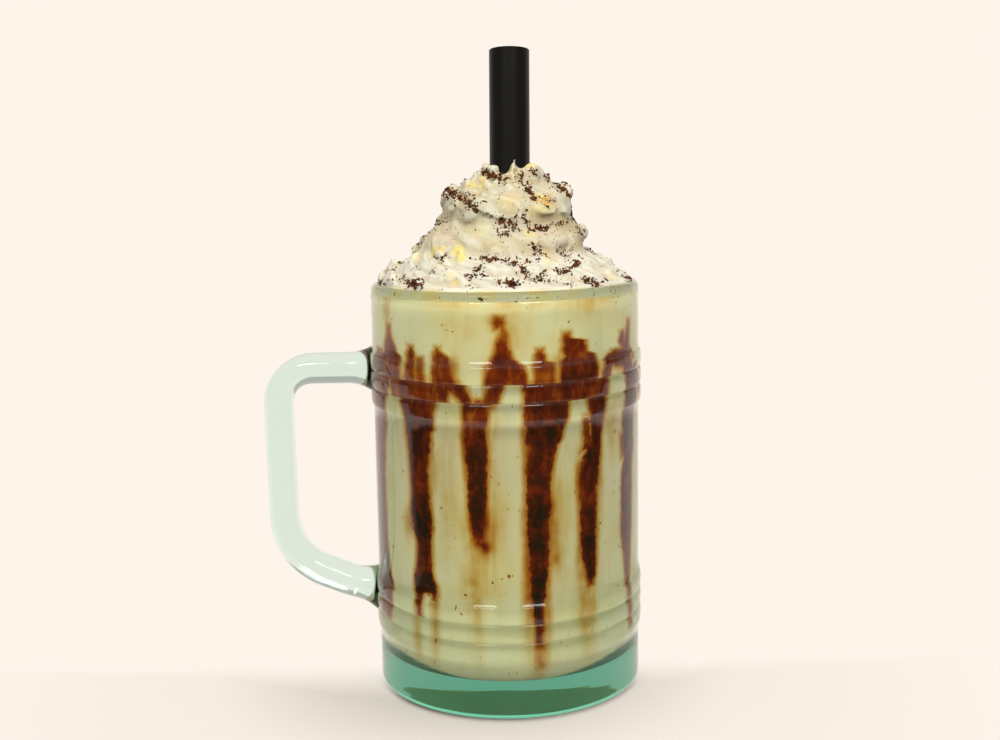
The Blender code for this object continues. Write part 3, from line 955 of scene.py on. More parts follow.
def swirl_parts():
    """The heap: three turns of cream one on the other, with the fold between two turns lower at the front."""
    outline = np.array(HEAP)
    cols, rows = 300, 170
    heights = np.linspace(outline[0, 1], outline[-1, 1], rows)
    verts = []
    for z in heights:
        for j in range(cols):
            a = math.tau * j / cols
            front = 0.5 - 0.5 * math.sin(a)  # 1 at the front, 0 at the back
            up = smooth_step((z - 124) / 12)
            sink = up * (4.0 * front - 1.6) * (1.0 - 0.45 * smooth_step((z - 143) / 12))
            r = np.interp(z + sink, outline[:, 1], outline[:, 0])
            # each turn runs a little uneven, and winds up by one turn
            slow = noise.noise(Vector((math.cos(a) * 1.3, math.sin(a) * 1.3, z / 7.0 - a * 0.12)))
            r += up * 1.5 * slow
            lift = smooth_step((z - 122) / 22)
            lean = 1.7 * smooth_step((z - 122.5) / 4) * (1 - smooth_step((z - 131) / 8))
            verts.append(Vector((
                0.3 + 1.2 * lift - lean + r * math.cos(a), 0.2 + 1.6 * lift + r * math.sin(a), z,
            )) * MM)
    faces = grid_faces(rows, cols)
    low, high = len(verts), len(verts) + 1
    verts.append(Vector((0, 0, heights[0])) * MM)
    verts.append(Vector((1.5, 1.8, heights[-1])) * MM)
    last = (rows - 1) * cols
    for j in range(cols):
        k = (j + 1) % cols
        faces.append((low, k, j))
        faces.append((high, last + j, last + k))
    return [(verts, faces)]


# Lumps seen at the front: (across, down, half width, half height in px, how far it stands out in mm)
LUMPS = [
    # the left of the lowest turn
    (392, 276, 10, 7, 1.4), (402, 262, 9, 7, 1.8), (417, 254, 8, 7, 1.8), (414, 280, 15, 6, 1.6),
    (438, 256, 9, 6, 2.2), (452, 274, 22, 10, 2.4), (437, 270, 10, 10, 1.6), (461, 255, 7, 7, 2.0),
    # the middle of it
    (482, 270, 15, 8, 2.0), (497, 280, 16, 6, 1.8), (509, 270, 12, 8, 2.2), (531, 268, 15, 9, 1.8),
    (545, 280, 17, 6, 1.8), (558, 266, 11, 8, 1.8), (574, 272, 12, 8, 2.0),
    # the right of it
    (590, 276, 12, 7, 1.6), (590, 263, 8, 7, 1.4), (608, 271, 13, 6, 1.4), (624, 280, 9, 4, 1.0),
    # above
    (432, 241, 10, 7, 1.2), (515, 246, 30, 7, 0.3),
    (572, 246, 8, 8, 0.8), (468, 218, 14, 7, 1.8), (452, 203, 10, 9, 1.2), (498, 206, 26, 11, 0.5), (470, 191, 11, 7, 1.6),
    (545, 207, 15, 8, 1.2), (562, 204, 9, 10, 1.2), (528, 188, 9, 9, 1.6), (551, 185, 9, 6, 1.6),
    (490, 184, 10, 7, 1.4), (512, 186, 9, 9, 1.6), (455, 224, 10, 6, 1.0), (560, 222, 14, 6, 1.0),
]


def lump_parts(core):
    """Lumps where they show at the front, and a seeded scatter of the same on the rest."""
    parts = []

    def put(place, normal, half_w, half_h, out, roll):
        turn = normal.to_track_quat("Z", "Y").to_matrix()
        turn = turn @ Matrix.Rotation(roll, 3, "Z")
        centre = place - normal * (out * 0.4)
        parts.append(blob(centre, (half_w, half_h, out * 1.4), turn))

    for x, y, hw, hh, out in LUMPS:
        place, normal, _, _ = core.ray_cast(EYE, pixel_ray(x, y))
        if place is not None:
            put(place, normal, hw * 0.3 * MM, hh * 0.34 * MM, out * 0.62 * MM, RNG.uniform(-0.3, 0.3))
    for i in range(58):
        a = math.radians(RNG.uniform(2, 178))
        z = RNG.choice((124, 127, 127, 129, 133, 136, 138, 143, 147, 150)) + RNG.uniform(-1, 1)
        start = Vector((math.cos(a), math.sin(a), 0)) * 60 * MM + Vector((0, 0, z * MM))
        aim = Vector((1, 1.5, z - 3)) * MM - start
        place, normal, _, _ = core.ray_cast(start, aim.normalized())
        if place is not None:
            put(
                place, normal, RNG.uniform(3, 6) * MM, RNG.uniform(2.2, 3.6) * MM,
                RNG.uniform(1.2, 2.2) * MM, RNG.uniform(-0.5, 0.5),
            )
    return parts


KNOBS = [
    # (across, down, millimetres in front of the straw's axis, radius in mm)
    (470, 184, -5, 2.6), (478, 177, -5, 2.3), (487, 170, -5.5, 2.0), (494, 170, -7, 1.9), (531, 169, -6.5, 2.4),
    (537, 174, -5, 2.0), (545, 181, -4, 2.3), (511, 176, -8.6, 2.5), (513, 169, -8.6, 1.7), (552, 186, -3, 2.0),
    (462, 192, -4, 2.2), (524, 172, -7.5, 2.0),
]


def tuft_parts():
    """The peaks round the straw."""
    parts = []
    for (bx, by), (tx, ty), depth, radius, bend in (
        ((507, 190), (512, 156.5), -8.4, 5.6, (0.9, 0.2)),
        ((515, 190), (516, 165), -8.0, 4.2, (0.4, 0)),
        ((490, 188), (493, 162.5), -6.6, 4.2, (-0.5, 0)),
        ((496, 186), (499, 168), -7.6, 3.6, (0.2, 0)),
        ((484, 186), (485, 165), -4.4, 3.2, (-0.3, 0)),
        ((527, 188), (529, 160), -7.0, 4.6, (0.2, 0)),
        ((536, 190), (537, 165), -4.6, 3.8, (0.3, 0)),
        ((545, 192), (545, 172), -3.0, 3.4, (0.3, 0)),
        ((466, 192), (466, 176), -4.0, 3.4, (0.0, 0)),
        ((476, 190), (477, 171), -5.0, 3.4, (-0.2, 0)),
    ):
        spots = []
        for px, py in ((bx, by), (tx, ty)):
            ray = pixel_ray(px, py)
            y = (straw_axis(0.156).y * 1000 + depth) * MM
            spots.append(EYE + ray * ((y - EYE.y) / ray.y))
        spots[1].y += 1.5 * MM
        parts.append(wisp(spots[0], spots[1], radius * 0.8 * MM, Vector((bend[0], bend[1], 0)) * MM))
    for px, py, depth, radius in KNOBS:
        ray = pixel_ray(px, py)
        y = (straw_axis(0.156).y * 1000 + depth) * MM
        size = radius * MM
        parts.append(blob(EYE + ray * ((y - EYE.y) / ray.y), (size, size * 1.1, size)))
    axis = straw_axis(0.155)
    for i in range(9):
        a = math.radians(15 + 150 * i / 8 + RNG.uniform(-6, 6))
        d = Vector((math.cos(a), math.sin(a), 0))
        base = axis + d * 8.2 * MM + Vector((0, 0, -4 * MM))
        tip = axis + d * 7.0 * MM + Vector((0, 0, RNG.uniform(0.5, 3.5) * MM))
        parts.append(wisp(base, tip, RNG.uniform(2.4, 3.4) * MM, d * RNG.uniform(-0.2, 0.8) * MM))
    return parts


def mesh_of(parts, name):
    verts, faces = [], []
    for v, f in parts:
        start = len(verts)
        verts += [tuple(p) for p in v]
        faces += [tuple(start + i for i in face) for face in f]
    mesh = bpy.data.meshes.new(name)
    mesh.from_pydata(verts, [], faces)
    mesh.update()
    return mesh


def fused(mesh, name, voxel):
    obj = bpy.data.objects.new(name, mesh)
    bpy.context.scene.collection.objects.link(obj)
    mod = obj.modifiers.new("fuse", "REMESH")
    mod.mode, mod.voxel_size, mod.adaptivity = "VOXEL", voxel, 0.0
    apply_modifiers(obj)
    return obj


def relax(mesh, rounds, share=0.5):
    n = len(mesh.vertices)
    co = np.empty(n * 3)
    mesh.vertices.foreach_get("co", co)
    co = co.reshape(-1, 3)
    edges = np.empty(len(mesh.edges) * 2, dtype=np.int64)
    mesh.edges.foreach_get("vertices", edges)
    a, b = edges.reshape(-1, 2).T
    count = np.bincount(a, minlength=n) + np.bincount(b, minlength=n)
    for _ in range(rounds):
        total = np.zeros_like(co)
        for k in range(3):
            total[:, k] = np.bincount(a, co[b, k], n) + np.bincount(b, co[a, k], n)
        co = co * (1 - share) + total / np.maximum(count, 1)[:, None] * share
    mesh.vertices.foreach_set("co", co.ravel())
    mesh.update()
    return co


def cream_relief(obj):
    """Folds and flow lines on the fused heap, and its seat on the glass."""
    mesh = obj.data
    co = relax(mesh, 3)
    normals = np.empty(len(co) * 3)
    mesh.vertices.foreach_get("normal", normals)
    normals = normals.reshape(-1, 3)
    shift = np.zeros(len(co))
    for i, (x, y, z) in enumerate(co):
        if z < 0.1218:
            continue
        free = smooth_step((z - 0.1218) / 0.003)
        a = math.atan2(y, x)
        r = math.hypot(x, y)
        climb = z * 1000 - 1.2 * a + 1.5 * noise.noise(Vector((a * 1.5, z * 60, 3.0)))
        # puffs with sharp creases between them run round the heap, and the turns above are smoother
        calm = smooth_step((z - 0.1305) / 0.004) * (1 - 0.7 * smooth_step((z - 0.148) / 0.004))
        u = a * (r * 1000 + 6)
        puff = abs(noise.noise(Vector((u / 11.0, climb / 8.0, r * 60)))) ** 0.7
        leaf = abs(noise.noise(Vector((u / 5.5 + 7, climb / 4.6 + u * 0.05, r * 110)))) ** 0.8
        fold = noise.noise(Vector((x, y, z)) * 230)
        small = noise.noise(Vector((x, y, z)) * 620)
        high = 2.3 * (puff - 0.58) * (1 - 0.5 * calm) + 1.0 * (leaf - 0.5) * (1 - 0.75 * calm)
        shift[i] = free * (high + 0.18 * fold + 0.08 * small) * MM
    co = co + normals * shift[:, None]
    # it fills the mouth, lies against the wall and laps on to the rim
    rim_r = (BODY_R - INNER_R_TOP) / 2
    mid_r, mid_z = BODY_R - rim_r, MUG_H - rim_r
    r = np.hypot(co[:, 0], co[:, 1])
    z = co[:, 2]
    wall = INNER_R_LOW + (INNER_R_TOP - INNER_R_LOW) * (z - FLOOR_T) / (MUG_H - FLOOR_T)
    new_r, new_z = r.copy(), z.copy()
    low = z < mid_z
    new_r = np.where(low & (r > wall - 0.60 * MM), wall + REACH, new_r)
    dr, dz = r - mid_r, z - mid_z
    away = np.maximum(np.hypot(dr, dz), 1e-9)
    hug = (~low) & (away < rim_r + 0.32 * MM) & (dr < 0.3 * MM)
    keep = rim_r - REACH
    new_r = np.where(hug, mid_r + dr / away * keep, new_r)
    new_z = np.where(hug, mid_z + dz / away * keep, new_z)
    over = (~low) & (~hug) & (dr >= 0.3 * MM) & (away < rim_r + 0.15 * MM)
    new_r = np.where(over, mid_r + dr / away * (rim_r + 0.02 * MM), new_r)
    new_z = np.where(over, mid_z + dz / away * (rim_r + 0.02 * MM), new_z)
    new_r = np.minimum(new_r, 39.2 * MM)
    scale = new_r / np.maximum(r, 1e-9)
    co[:, 0] *= scale
    co[:, 1] *= scale
    co[:, 2] = new_z
    mesh.vertices.foreach_set("co", co.ravel())
    mesh.update()


def straw_cutter(radius):
    along = (STRAW_TOP - STRAW_LOW).normalized()
    turn = Vector((0, 0, 1)).rotation_difference(along).to_matrix()
    low, high = straw_axis(0.110), straw_axis(0.175)
    steps = 64
    verts = []
    for centre in (low, high):
        for i in range(steps):
            t = math.tau * i / steps
            verts.append(centre + turn @ Vector((radius * math.cos(t), radius * math.sin(t), 0)))
    faces = grid_faces(2, steps)
    faces.append(tuple(range(steps))[::-1])
    faces.append(tuple(steps + i for i in range(steps)))
    return verts, faces


# Butter-yellow patches at the front: (across, down, size in px, strength)
BUTTER = [
    (434, 251, 5, 0.9), (441, 250, 4, 0.8), (458, 251, 5, 1.0), (461, 257, 5, 0.9), (456, 283, 3, 0.9),
    (541, 197, 5, 0.45), (547, 203, 6, 0.5), (543, 209, 4, 0.5), (482, 184, 4, 0.8), (484, 178, 3, 0.6),
    (530, 164, 5, 0.6), (416, 259, 6, 0.35), (414, 250, 5, 0.3), (530, 233, 5, 0.5), (544, 254, 5, 0.5),
    (549, 260, 5, 0.35), (480, 232, 8, 0.25), (508, 200, 10, 0.2), (577, 244, 5, 0.4), (472, 186, 4, 0.6),
    (535, 210, 5, 0.4), (563, 222, 4, 0.4), (408, 283, 5, 0.3), (450, 276, 4, 0.4), (612, 276, 5, 0.3),
]


def make_cream():
    parts = swirl_parts()
    core_mesh = mesh_of(parts, "core")
    core = BVHTree.FromPolygons(
        [v.co.copy() for v in core_mesh.vertices], [tuple(p.vertices) for p in core_mesh.polygons]
    )
    parts += lump_parts(core)
    parts += tuft_parts()
    cream = fused(mesh_of(parts, "cream_heap"), "cream_swirl", 0.48 * MM)
    cream_relief(cream)
    verts, faces = straw_cutter(STRAW_R - 0.25 * MM)
    cutter = bpy.data.objects.new("cutter", mesh_of([(verts, faces)], "cutter"))
    bpy.context.scene.collection.objects.link(cutter)
    mod = cream.modifiers.new("straw", "BOOLEAN")
    mod.operation, mod.solver, mod.object = "DIFFERENCE", "MANIFOLD", cutter
    apply_modifiers(cream)
    bpy.data.objects.remove(cutter)
    mesh = cream.data
    mesh.materials.clear()
    mesh.materials.append(cream_material())
    mesh.shade_smooth()
    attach(cream, "root")
    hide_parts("cream")
    tree = BVHTree.FromPolygons([v.co.copy() for v in mesh.vertices], [tuple(p.vertices) for p in mesh.polygons])
    co = np.empty(len(mesh.vertices) * 3)
    mesh.vertices.foreach_get("co", co)
    co = co.reshape(-1, 3)
    butter = np.zeros(len(co))
    for x, y, size, strength in BUTTER:
        place, _, _, _ = tree.ray_cast(EYE, pixel_ray(x, y))
        if place is None:
            continue
        away = np.linalg.norm(co - np.array(place), axis=1) / (size * 0.3 * MM)
        butter = np.maximum(butter, strength * np.clip(1.6 - away, 0, 1))
    # how far each place stands out of the cream round it; the material paints light on the ridges and shade in the
    # folds with this
    normals = np.empty(len(co) * 3)
    mesh.vertices.foreach_get("normal", normals)
    soft = co.copy()
    edges = np.empty(len(mesh.edges) * 2, dtype=np.int64)
    mesh.edges.foreach_get("vertices", edges)
    a, b = edges.reshape(-1, 2).T
    count = np.maximum(np.bincount(a, minlength=len(co)) + np.bincount(b, minlength=len(co)), 1)
    for _ in range(14):
        total = np.zeros_like(soft)
        for k in range(3):
            total[:, k] = np.bincount(a, soft[b, k], len(co)) + np.bincount(b, soft[a, k], len(co))
        soft = soft * 0.4 + total / count[:, None] * 0.6
    crest = np.clip(0.5 + ((co - soft) * normals.reshape(-1, 3)).sum(axis=1) / (0.5 * MM), 0, 1)
    for name, values in (("butter", butter), ("crest", crest)):
        att = mesh.attributes.new(name, "FLOAT", "POINT")
        att.data.foreach_set("value", values.astype(np.float32))
    return cream, tree


# ---------------------------------------------------------------- crumbs
# Where crumbs gather at the front: (across, down, spread across, spread down, how many, largest size)
CLUSTERS = [
    (453, 193, 9, 5, 46, 1.0), (466, 198, 9, 5, 34, 0.9), (474, 206, 5, 5, 18, 0.8), (446, 190, 4, 3, 14, 0.9),
    (497, 176, 8, 3, 26, 1.0), (504, 182, 4, 3, 12, 0.9), (522, 176, 4, 4, 14, 0.9), (533, 172, 4, 4, 16, 1.0),
    (528, 188, 4, 6, 18, 0.9), (533, 198, 3, 4, 12, 0.9), (549, 177, 4, 4, 14, 1.0), (563, 190, 6, 3, 14, 1.0),
    (545, 200, 6, 6, 80, 0.75), (555, 200, 4, 3, 10, 0.8), (480, 165, 3, 4, 8, 0.7), (502, 222, 6, 5, 26, 0.9),
    (512, 226, 5, 6, 24, 0.9), (505, 233, 5, 2, 14, 0.9), (528, 226, 4, 6, 14, 0.8), (541, 228, 7, 3, 20, 1.0),
    (565, 223, 7, 3, 16, 0.8), (574, 222, 4, 4, 10, 0.8), (553, 224, 6, 4, 14, 0.7), (436, 222, 10, 3, 14, 0.9),
    (425, 233, 3, 3, 10, 0.9), (490, 259, 12, 2, 26, 0.9), (513, 264, 6, 2, 16, 0.9), (528, 262, 8, 2, 14, 0.8),
    (534, 250, 3, 7, 14, 0.8), (534, 245, 2, 3, 8, 0.9), (400, 261, 3, 3, 12, 1.1), (414, 269, 4, 3, 12, 0.8),
    (414, 284, 6, 4, 30, 0.9), (404, 278, 5, 4, 14, 0.7), (438, 258, 6, 4, 14, 0.8), (478, 272, 7, 5, 30, 0.9),
    (511, 283, 6, 3, 26, 0.9), (523, 272, 6, 6, 18, 0.9), (540, 277, 8, 4, 34, 0.8), (538, 282, 9, 2, 16, 0.8),
    (560, 270, 6, 4, 20, 0.9), (577, 263, 5, 4, 22, 1.1), (566, 252, 8, 5, 24, 0.7), (586, 280, 5, 3, 18, 1.0),
    (598, 284, 4, 2, 10, 1.0), (590, 250, 5, 5, 12, 0.8), (570, 284, 8, 3, 14, 0.7), (622, 272, 6, 4, 10, 0.7),
    (631, 278, 3, 2, 10, 1.1), (380, 284, 4, 1.5, 12, 1.0), (470, 286, 6, 2, 8, 0.8), (447, 270, 12, 8, 18, 0.5),
    (500, 250, 26, 10, 26, 0.5), (460, 222, 16, 10, 22, 0.5), (520, 210, 22, 12, 30, 0.45),
    (430, 290, 14, 2, 8, 0.5), (600, 262, 14, 8, 26, 0.5), (490, 196, 12, 10, 16, 0.45), (390, 276, 8, 6, 14, 0.6),
    (556, 244, 14, 10, 24, 0.5), (574, 236, 8, 10, 14, 0.5), (450, 236, 14, 8, 12, 0.4),
]


def crumb_material(name, dark, light, rough):
    m = Nodes(name)
    speck = m.noise(1.0, 4.0, 0.6, m.coords((900, 900, 900)))
    m.set(Base_Color=m.mix(m.remap(speck, 0.35, 0.62), dark, light), Metallic=0.0)
    m.put(m.bsdf.inputs["Specular IOR Level"], 0.1)
    m.put(m.bsdf.inputs["Roughness"], m.math("MULTIPLY_ADD", speck, 0.3, rough))
    m.bump(m.noise(1.0, 3.0, 0.6, m.coords((2500, 2500, 2500))), 0.4, 0.0001)
    return m.mat


def crumb(place, normal, size, flat):
    """A broken crumb: a low lump with uneven corners, pressed a little into the cream."""
    turn = normal.to_track_quat("Z", "Y").to_matrix() @ Matrix.Rotation(RNG.uniform(0, math.tau), 3, "Z")
    long = RNG.uniform(0.7, 1.5)
    half = Vector((size * long, size * RNG.uniform(0.6, 1.0), size * flat)) * 0.5
    raw = [
        (-1, -0.5, -0.6), (0.2, -1, -0.7), (1, -0.2, -0.5), (0.5, 0.9, -0.6), (-0.7, 0.8, -0.5),
        (-0.8, -0.3, 0.5), (0.1, -0.7, 0.8), (0.8, 0.1, 0.6), (0.2, 0.7, 0.7), (-0.5, 0.5, 0.8),
    ]
    verts = []
    for x, y, z in raw:
        v = Vector((x * half.x, y * half.y, z * half.z))
        v *= RNG.uniform(0.75, 1.25)
        verts.append(place + turn @ v + normal * half.z * 0.25)
    faces = [(4, 3, 2, 1, 0), (5, 6, 7, 8, 9)]
    for i in range(5):
        j = (i + 1) % 5
        faces.append((i, j, 5 + j, 5 + i))
    return verts, faces


# Crumbs pressed against the inside of the glass: as above
UNDER_RIM = [
    (482, 298, 3, 8, 14, 0.55), (516, 302, 6, 1.5, 8, 0.6), (394, 293, 2, 2, 4, 0.5), (390, 301, 2, 2, 3, 0.4),
    (527, 297, 2, 2, 4, 0.4), (538, 298, 2, 2, 4, 0.4), (560, 296, 6, 3, 5, 0.4), (595, 296, 3, 3, 4, 0.4),
    (614, 294, 10, 3, 16, 0.5), (616, 300, 4, 4, 10, 0.5), (450, 290, 30, 3, 8, 0.35), (515, 292, 30, 3, 8, 0.35),
]


# Crumbs that lie in the folds: (across, down) of both ends, how many, largest size
CRUMB_LINES = [
    (482, 212, 494, 217, 12, 0.8), (522, 212, 529, 228, 22, 0.9), (529, 190, 535, 200, 20, 1.1),
    (517, 176, 531, 194, 26, 1.0), (486, 258, 516, 263, 30, 0.9), (518, 266, 530, 279, 22, 0.7),
    (530, 279, 556, 281, 24, 0.7), (483, 257, 478, 272, 10, 0.8), (541, 245, 536, 258, 16, 0.9),
    (446, 190, 468, 203, 40, 1.2), (462, 200, 478, 211, 30, 1.0), (484, 170, 500, 180, 30, 1.1),
    (441, 220, 424, 236, 22, 0.9), (424, 236, 418, 248, 10, 0.6), (545, 176, 560, 187, 22, 1.1),
    (560, 187, 574, 200, 24, 1.1), (496, 232, 512, 236, 12, 0.8), (533, 229, 548, 230, 22, 1.1),
    (574, 222, 586, 243, 18, 0.8), (586, 243, 594, 254, 14, 0.8), (440, 262, 448, 254, 12, 0.8),
    (400, 262, 392, 272, 10, 0.7), (578, 262, 566, 272, 20, 1.0), (540, 254, 548, 258, 10, 0.7),
    (436, 268, 432, 274, 6, 0.6), (480, 268, 470, 278, 18, 0.9), (505, 283, 517, 284, 18, 1.1),
    (622, 272, 637, 281, 14, 0.9), (628, 277, 634, 279, 12, 1.3), (376, 283, 386, 285, 12, 1.1),
    (583, 280, 600, 285, 20, 1.1), (410, 282, 424, 288, 22, 0.9), (561, 252, 570, 262, 18, 0.7),
]


def flake(place, normal, length):
    """A thin curl of chocolate, lying flat or a little on edge."""
    turn = normal.to_track_quat("Z", "Y").to_matrix() @ Matrix.Rotation(RNG.uniform(0, math.tau), 3, "Z")
    turn = turn @ Matrix.Rotation(RNG.uniform(-0.5, 0.5), 3, "X")
    half_w, half_t = length * RNG.uniform(0.12, 0.25), 0.11 * MM
    rise = length * RNG.uniform(0.02, 0.14)
    verts, steps = [], 5
    for i in range(steps):
        s = i / (steps - 1) * 2 - 1
        bend = rise * (1 - s * s)
        w = half_w * (1 - 0.45 * s * s) * RNG.uniform(0.75, 1.15)
        for y, z in ((-w, -half_t), (w, -half_t), (w, half_t), (-w, half_t)):
            verts.append(place + normal * 0.1 * MM + turn @ Vector((s * length / 2, y, z + bend)))
    faces = grid_faces(steps, 4)
    faces.append((3, 2, 1, 0))
    last = (steps - 1) * 4
    faces.append((last, last + 1, last + 2, last + 3))
    return verts, faces


def make_crumbs(tree):
    dark, gold, flakes = [], [], []

    def patch_of(place, normal, size):
        """Crumbs lie in small heaps."""
        side = normal.orthogonal().normalized()
        other = normal.cross(side)
        for _ in range(RNG.choice((1, 2, 3))):
            a, d = RNG.uniform(0, math.tau), RNG.uniform(0.3, 1.2) * size * 1.3
            start = place + side * math.cos(a) * d + other * math.sin(a) * d + normal * 0.002
            spot, up, _, _ = tree.ray_cast(start, -normal, 0.005)
            if spot is not None:
                yield spot, up

    for x, y, sx, sy, count, size in CLUSTERS:
        golden = (x, y) == (545, 200)
        count = round(count * (1.35 if size >= 0.9 else 1.0))
        for k in range(count):
            wide = 0.55 if k % 5 < 3 else 1.2
            px, py = RNG.gauss(x, sx * wide), RNG.gauss(y, sy * wide)
            place, normal, _, _ = tree.ray_cast(EYE, pixel_ray(px, py))
            if place is None or place.z < 0.1216:
                continue
            s = size * RNG.triangular(0.30, 1.25, 0.55) * MM * (1.0 if wide < 0.6 else 0.55)
            if golden and RNG.random() < 0.8:
                gold.append(crumb(place, normal, s, RNG.uniform(0.5, 0.9)))
                continue
            dark.append(crumb(place, normal, s, RNG.uniform(0.5, 0.9)))
            if size > 0.65 and wide < 0.6 and RNG.random() < 0.22:
                for spot, up in patch_of(place, normal, s):
                    dark.append(crumb(spot, up, s * RNG.uniform(0.5, 1.0), RNG.uniform(0.5, 0.9)))
            if size > 0.85 and RNG.random() < 0.08:
                flakes.append(flake(place, normal, RNG.uniform(1.0, 2.0) * MM))
    # lines of crumbs that slid into the folds
    for x0, y0, x1, y1, count, size in CRUMB_LINES:
        for _ in range(round(count * 1.25)):
            s = RNG.random()
            loose = RNG.choice((0.7, 1.2, 2.4))
            px = x0 + (x1 - x0) * s + RNG.gauss(0, loose)
            py = y0 + (y1 - y0) * s + RNG.gauss(0, loose)
            place, normal, _, _ = tree.ray_cast(EYE, pixel_ray(px, py))
            if place is not None and place.z > 0.1216:
                dark.append(crumb(place, normal, size * RNG.triangular(0.30, 1.15, 0.5) * MM, RNG.uniform(0.5, 0.9)))
    # the sides and the back carry crumbs in the same way
    for _ in range(64):
        a = math.radians(RNG.uniform(-8, 188))
        z = RNG.choice((123, 126, 129, 131, 131, 135, 139, 140, 141, 146, 150, 152, 154))
        for _ in range(RNG.choice((4, 8, 12, 18, 24))):
            b = a + RNG.gauss(0, 0.07)
            start = Vector((math.cos(b) * 0.06, math.sin(b) * 0.06, (z + RNG.gauss(0, 1.2)) * MM + 0.008))
            aim = Vector((0.001, 0.0015, start.z - 0.012)) - start
            place, normal, _, _ = tree.ray_cast(start, aim.normalized())
            if place is not None and place.z > 0.1216:
                s = RNG.triangular(0.25, 1.1, 0.4) * MM
                dark.append(crumb(place, normal, s, RNG.uniform(0.5, 0.9)))
                if RNG.random() < 0.05:
                    flakes.append(flake(place, normal, RNG.uniform(1.0, 2.0) * MM))
    # a few are pressed against the inside of the glass, under the rim
    for x, y, sx, sy, count, size in UNDER_RIM:
        for _ in range(count):
            a, z = on_wall(RNG.gauss(x, sx * 0.5), RNG.gauss(y, sy * 0.5))
            r = inner_radius(z) + REACH - 0.04 * MM
            out = Vector((math.sin(math.radians(a)), -math.cos(math.radians(a)), 0))
            place = out * r + Vector((0, 0, min(z, 0.1200)))
            dark.append(crumb(place, out, size * RNG.uniform(0.5, 1.1) * MM, 0.3))
    for name, parts, mat in (
        ("chocolate_crumbs", dark, crumb_material("dark_chocolate", (0.014, 0.005, 0.003), (0.115, 0.038, 0.012), 0.6)),
        ("chocolate_flakes", flakes, crumb_material("dark_flakes", (0.014, 0.005, 0.003), (0.115, 0.038, 0.012), 0.55)),
        ("golden_crumbs", gold, crumb_material("biscuit_gold", (0.42, 0.20, 0.04), (0.70, 0.42, 0.12), 0.5)),
    ):
        obj = add(name, mesh_of(parts, name), mat)
        obj.data.validate()
        bm = bmesh.new()
        bm.from_mesh(obj.data)
        bmesh.ops.recalc_face_normals(bm, faces=bm.faces)
        bm.to_mesh(obj.data)
        bm.free()
    return len(dark), len(gold), len(flakes)


# ---------------------------------------------------------------- straw
def straw_material():
    m = Nodes("straw_black_satin")
    draw = m.noise(1.0, 3.0, 0.5, m.coords((500, 500, 25)))
    fleck = m.noise(1.0, 4.0, 0.6, m.coords((1400, 1400, 1400)))
    m.set(Base_Color=m.mix(draw, (0.004, 0.004, 0.0035), (0.007, 0.007, 0.006)), Metallic=0.0)
    m.put(m.bsdf.inputs["Roughness"], m.math("MULTIPLY_ADD", fleck, 0.18, 0.30))
    m.put(m.bsdf.inputs["Specular IOR Level"], 0.15)
    m.bump(draw, 0.12, 0.0002)
    return m.mat


def make_straw():
    along = (STRAW_TOP - STRAW_LOW).normalized()
    turn = Vector((0, 0, 1)).rotation_difference(along).to_matrix()
    length = (STRAW_TOP - STRAW_LOW).length
    e = 0.15 * MM
    inner = STRAW_R - STRAW_WALL
    ring = [
        (STRAW_R - e, 0), (STRAW_R, e), (STRAW_R, length * 0.33), (STRAW_R, length * 0.66), (STRAW_R, length - e),
        (STRAW_R - e, length), (inner + e, length), (inner, length - e), (inner, length * 0.5), (inner, e), (inner + e, 0),
    ]
    steps, verts = 96, []
    for r, h in ring:
        for i in range(steps):
            t = math.tau * i / steps
            verts.append(STRAW_LOW + turn @ Vector((r * math.cos(t), r * math.sin(t), h)))
    faces = grid_faces(len(ring), steps)
    last = (len(ring) - 1) * steps
    for i in range(steps):
        j = (i + 1) % steps
        faces.append((last + i, last + j, j, i))
    straw = new_object("straw_tube", verts, faces, straw_material())
    straw.data.set_sharp_from_angle(angle=math.radians(35))
    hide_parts("straw")


# ---------------------------------------------------------------- stage
BACK = srgb(254, 244, 234)
FRONT_LOW = 0.05  # how bright the room in front of the mug is below eye level, against the backdrop
FRONT_HIGH = 0.3  # and above it
BACK_HIGH = 0.5  # above the backdrop
OVERHEAD = 0.6
FLOOR_ALBEDO = 0.46
KEY_WATTS = 12.8
GLINT_WATTS = 2.2


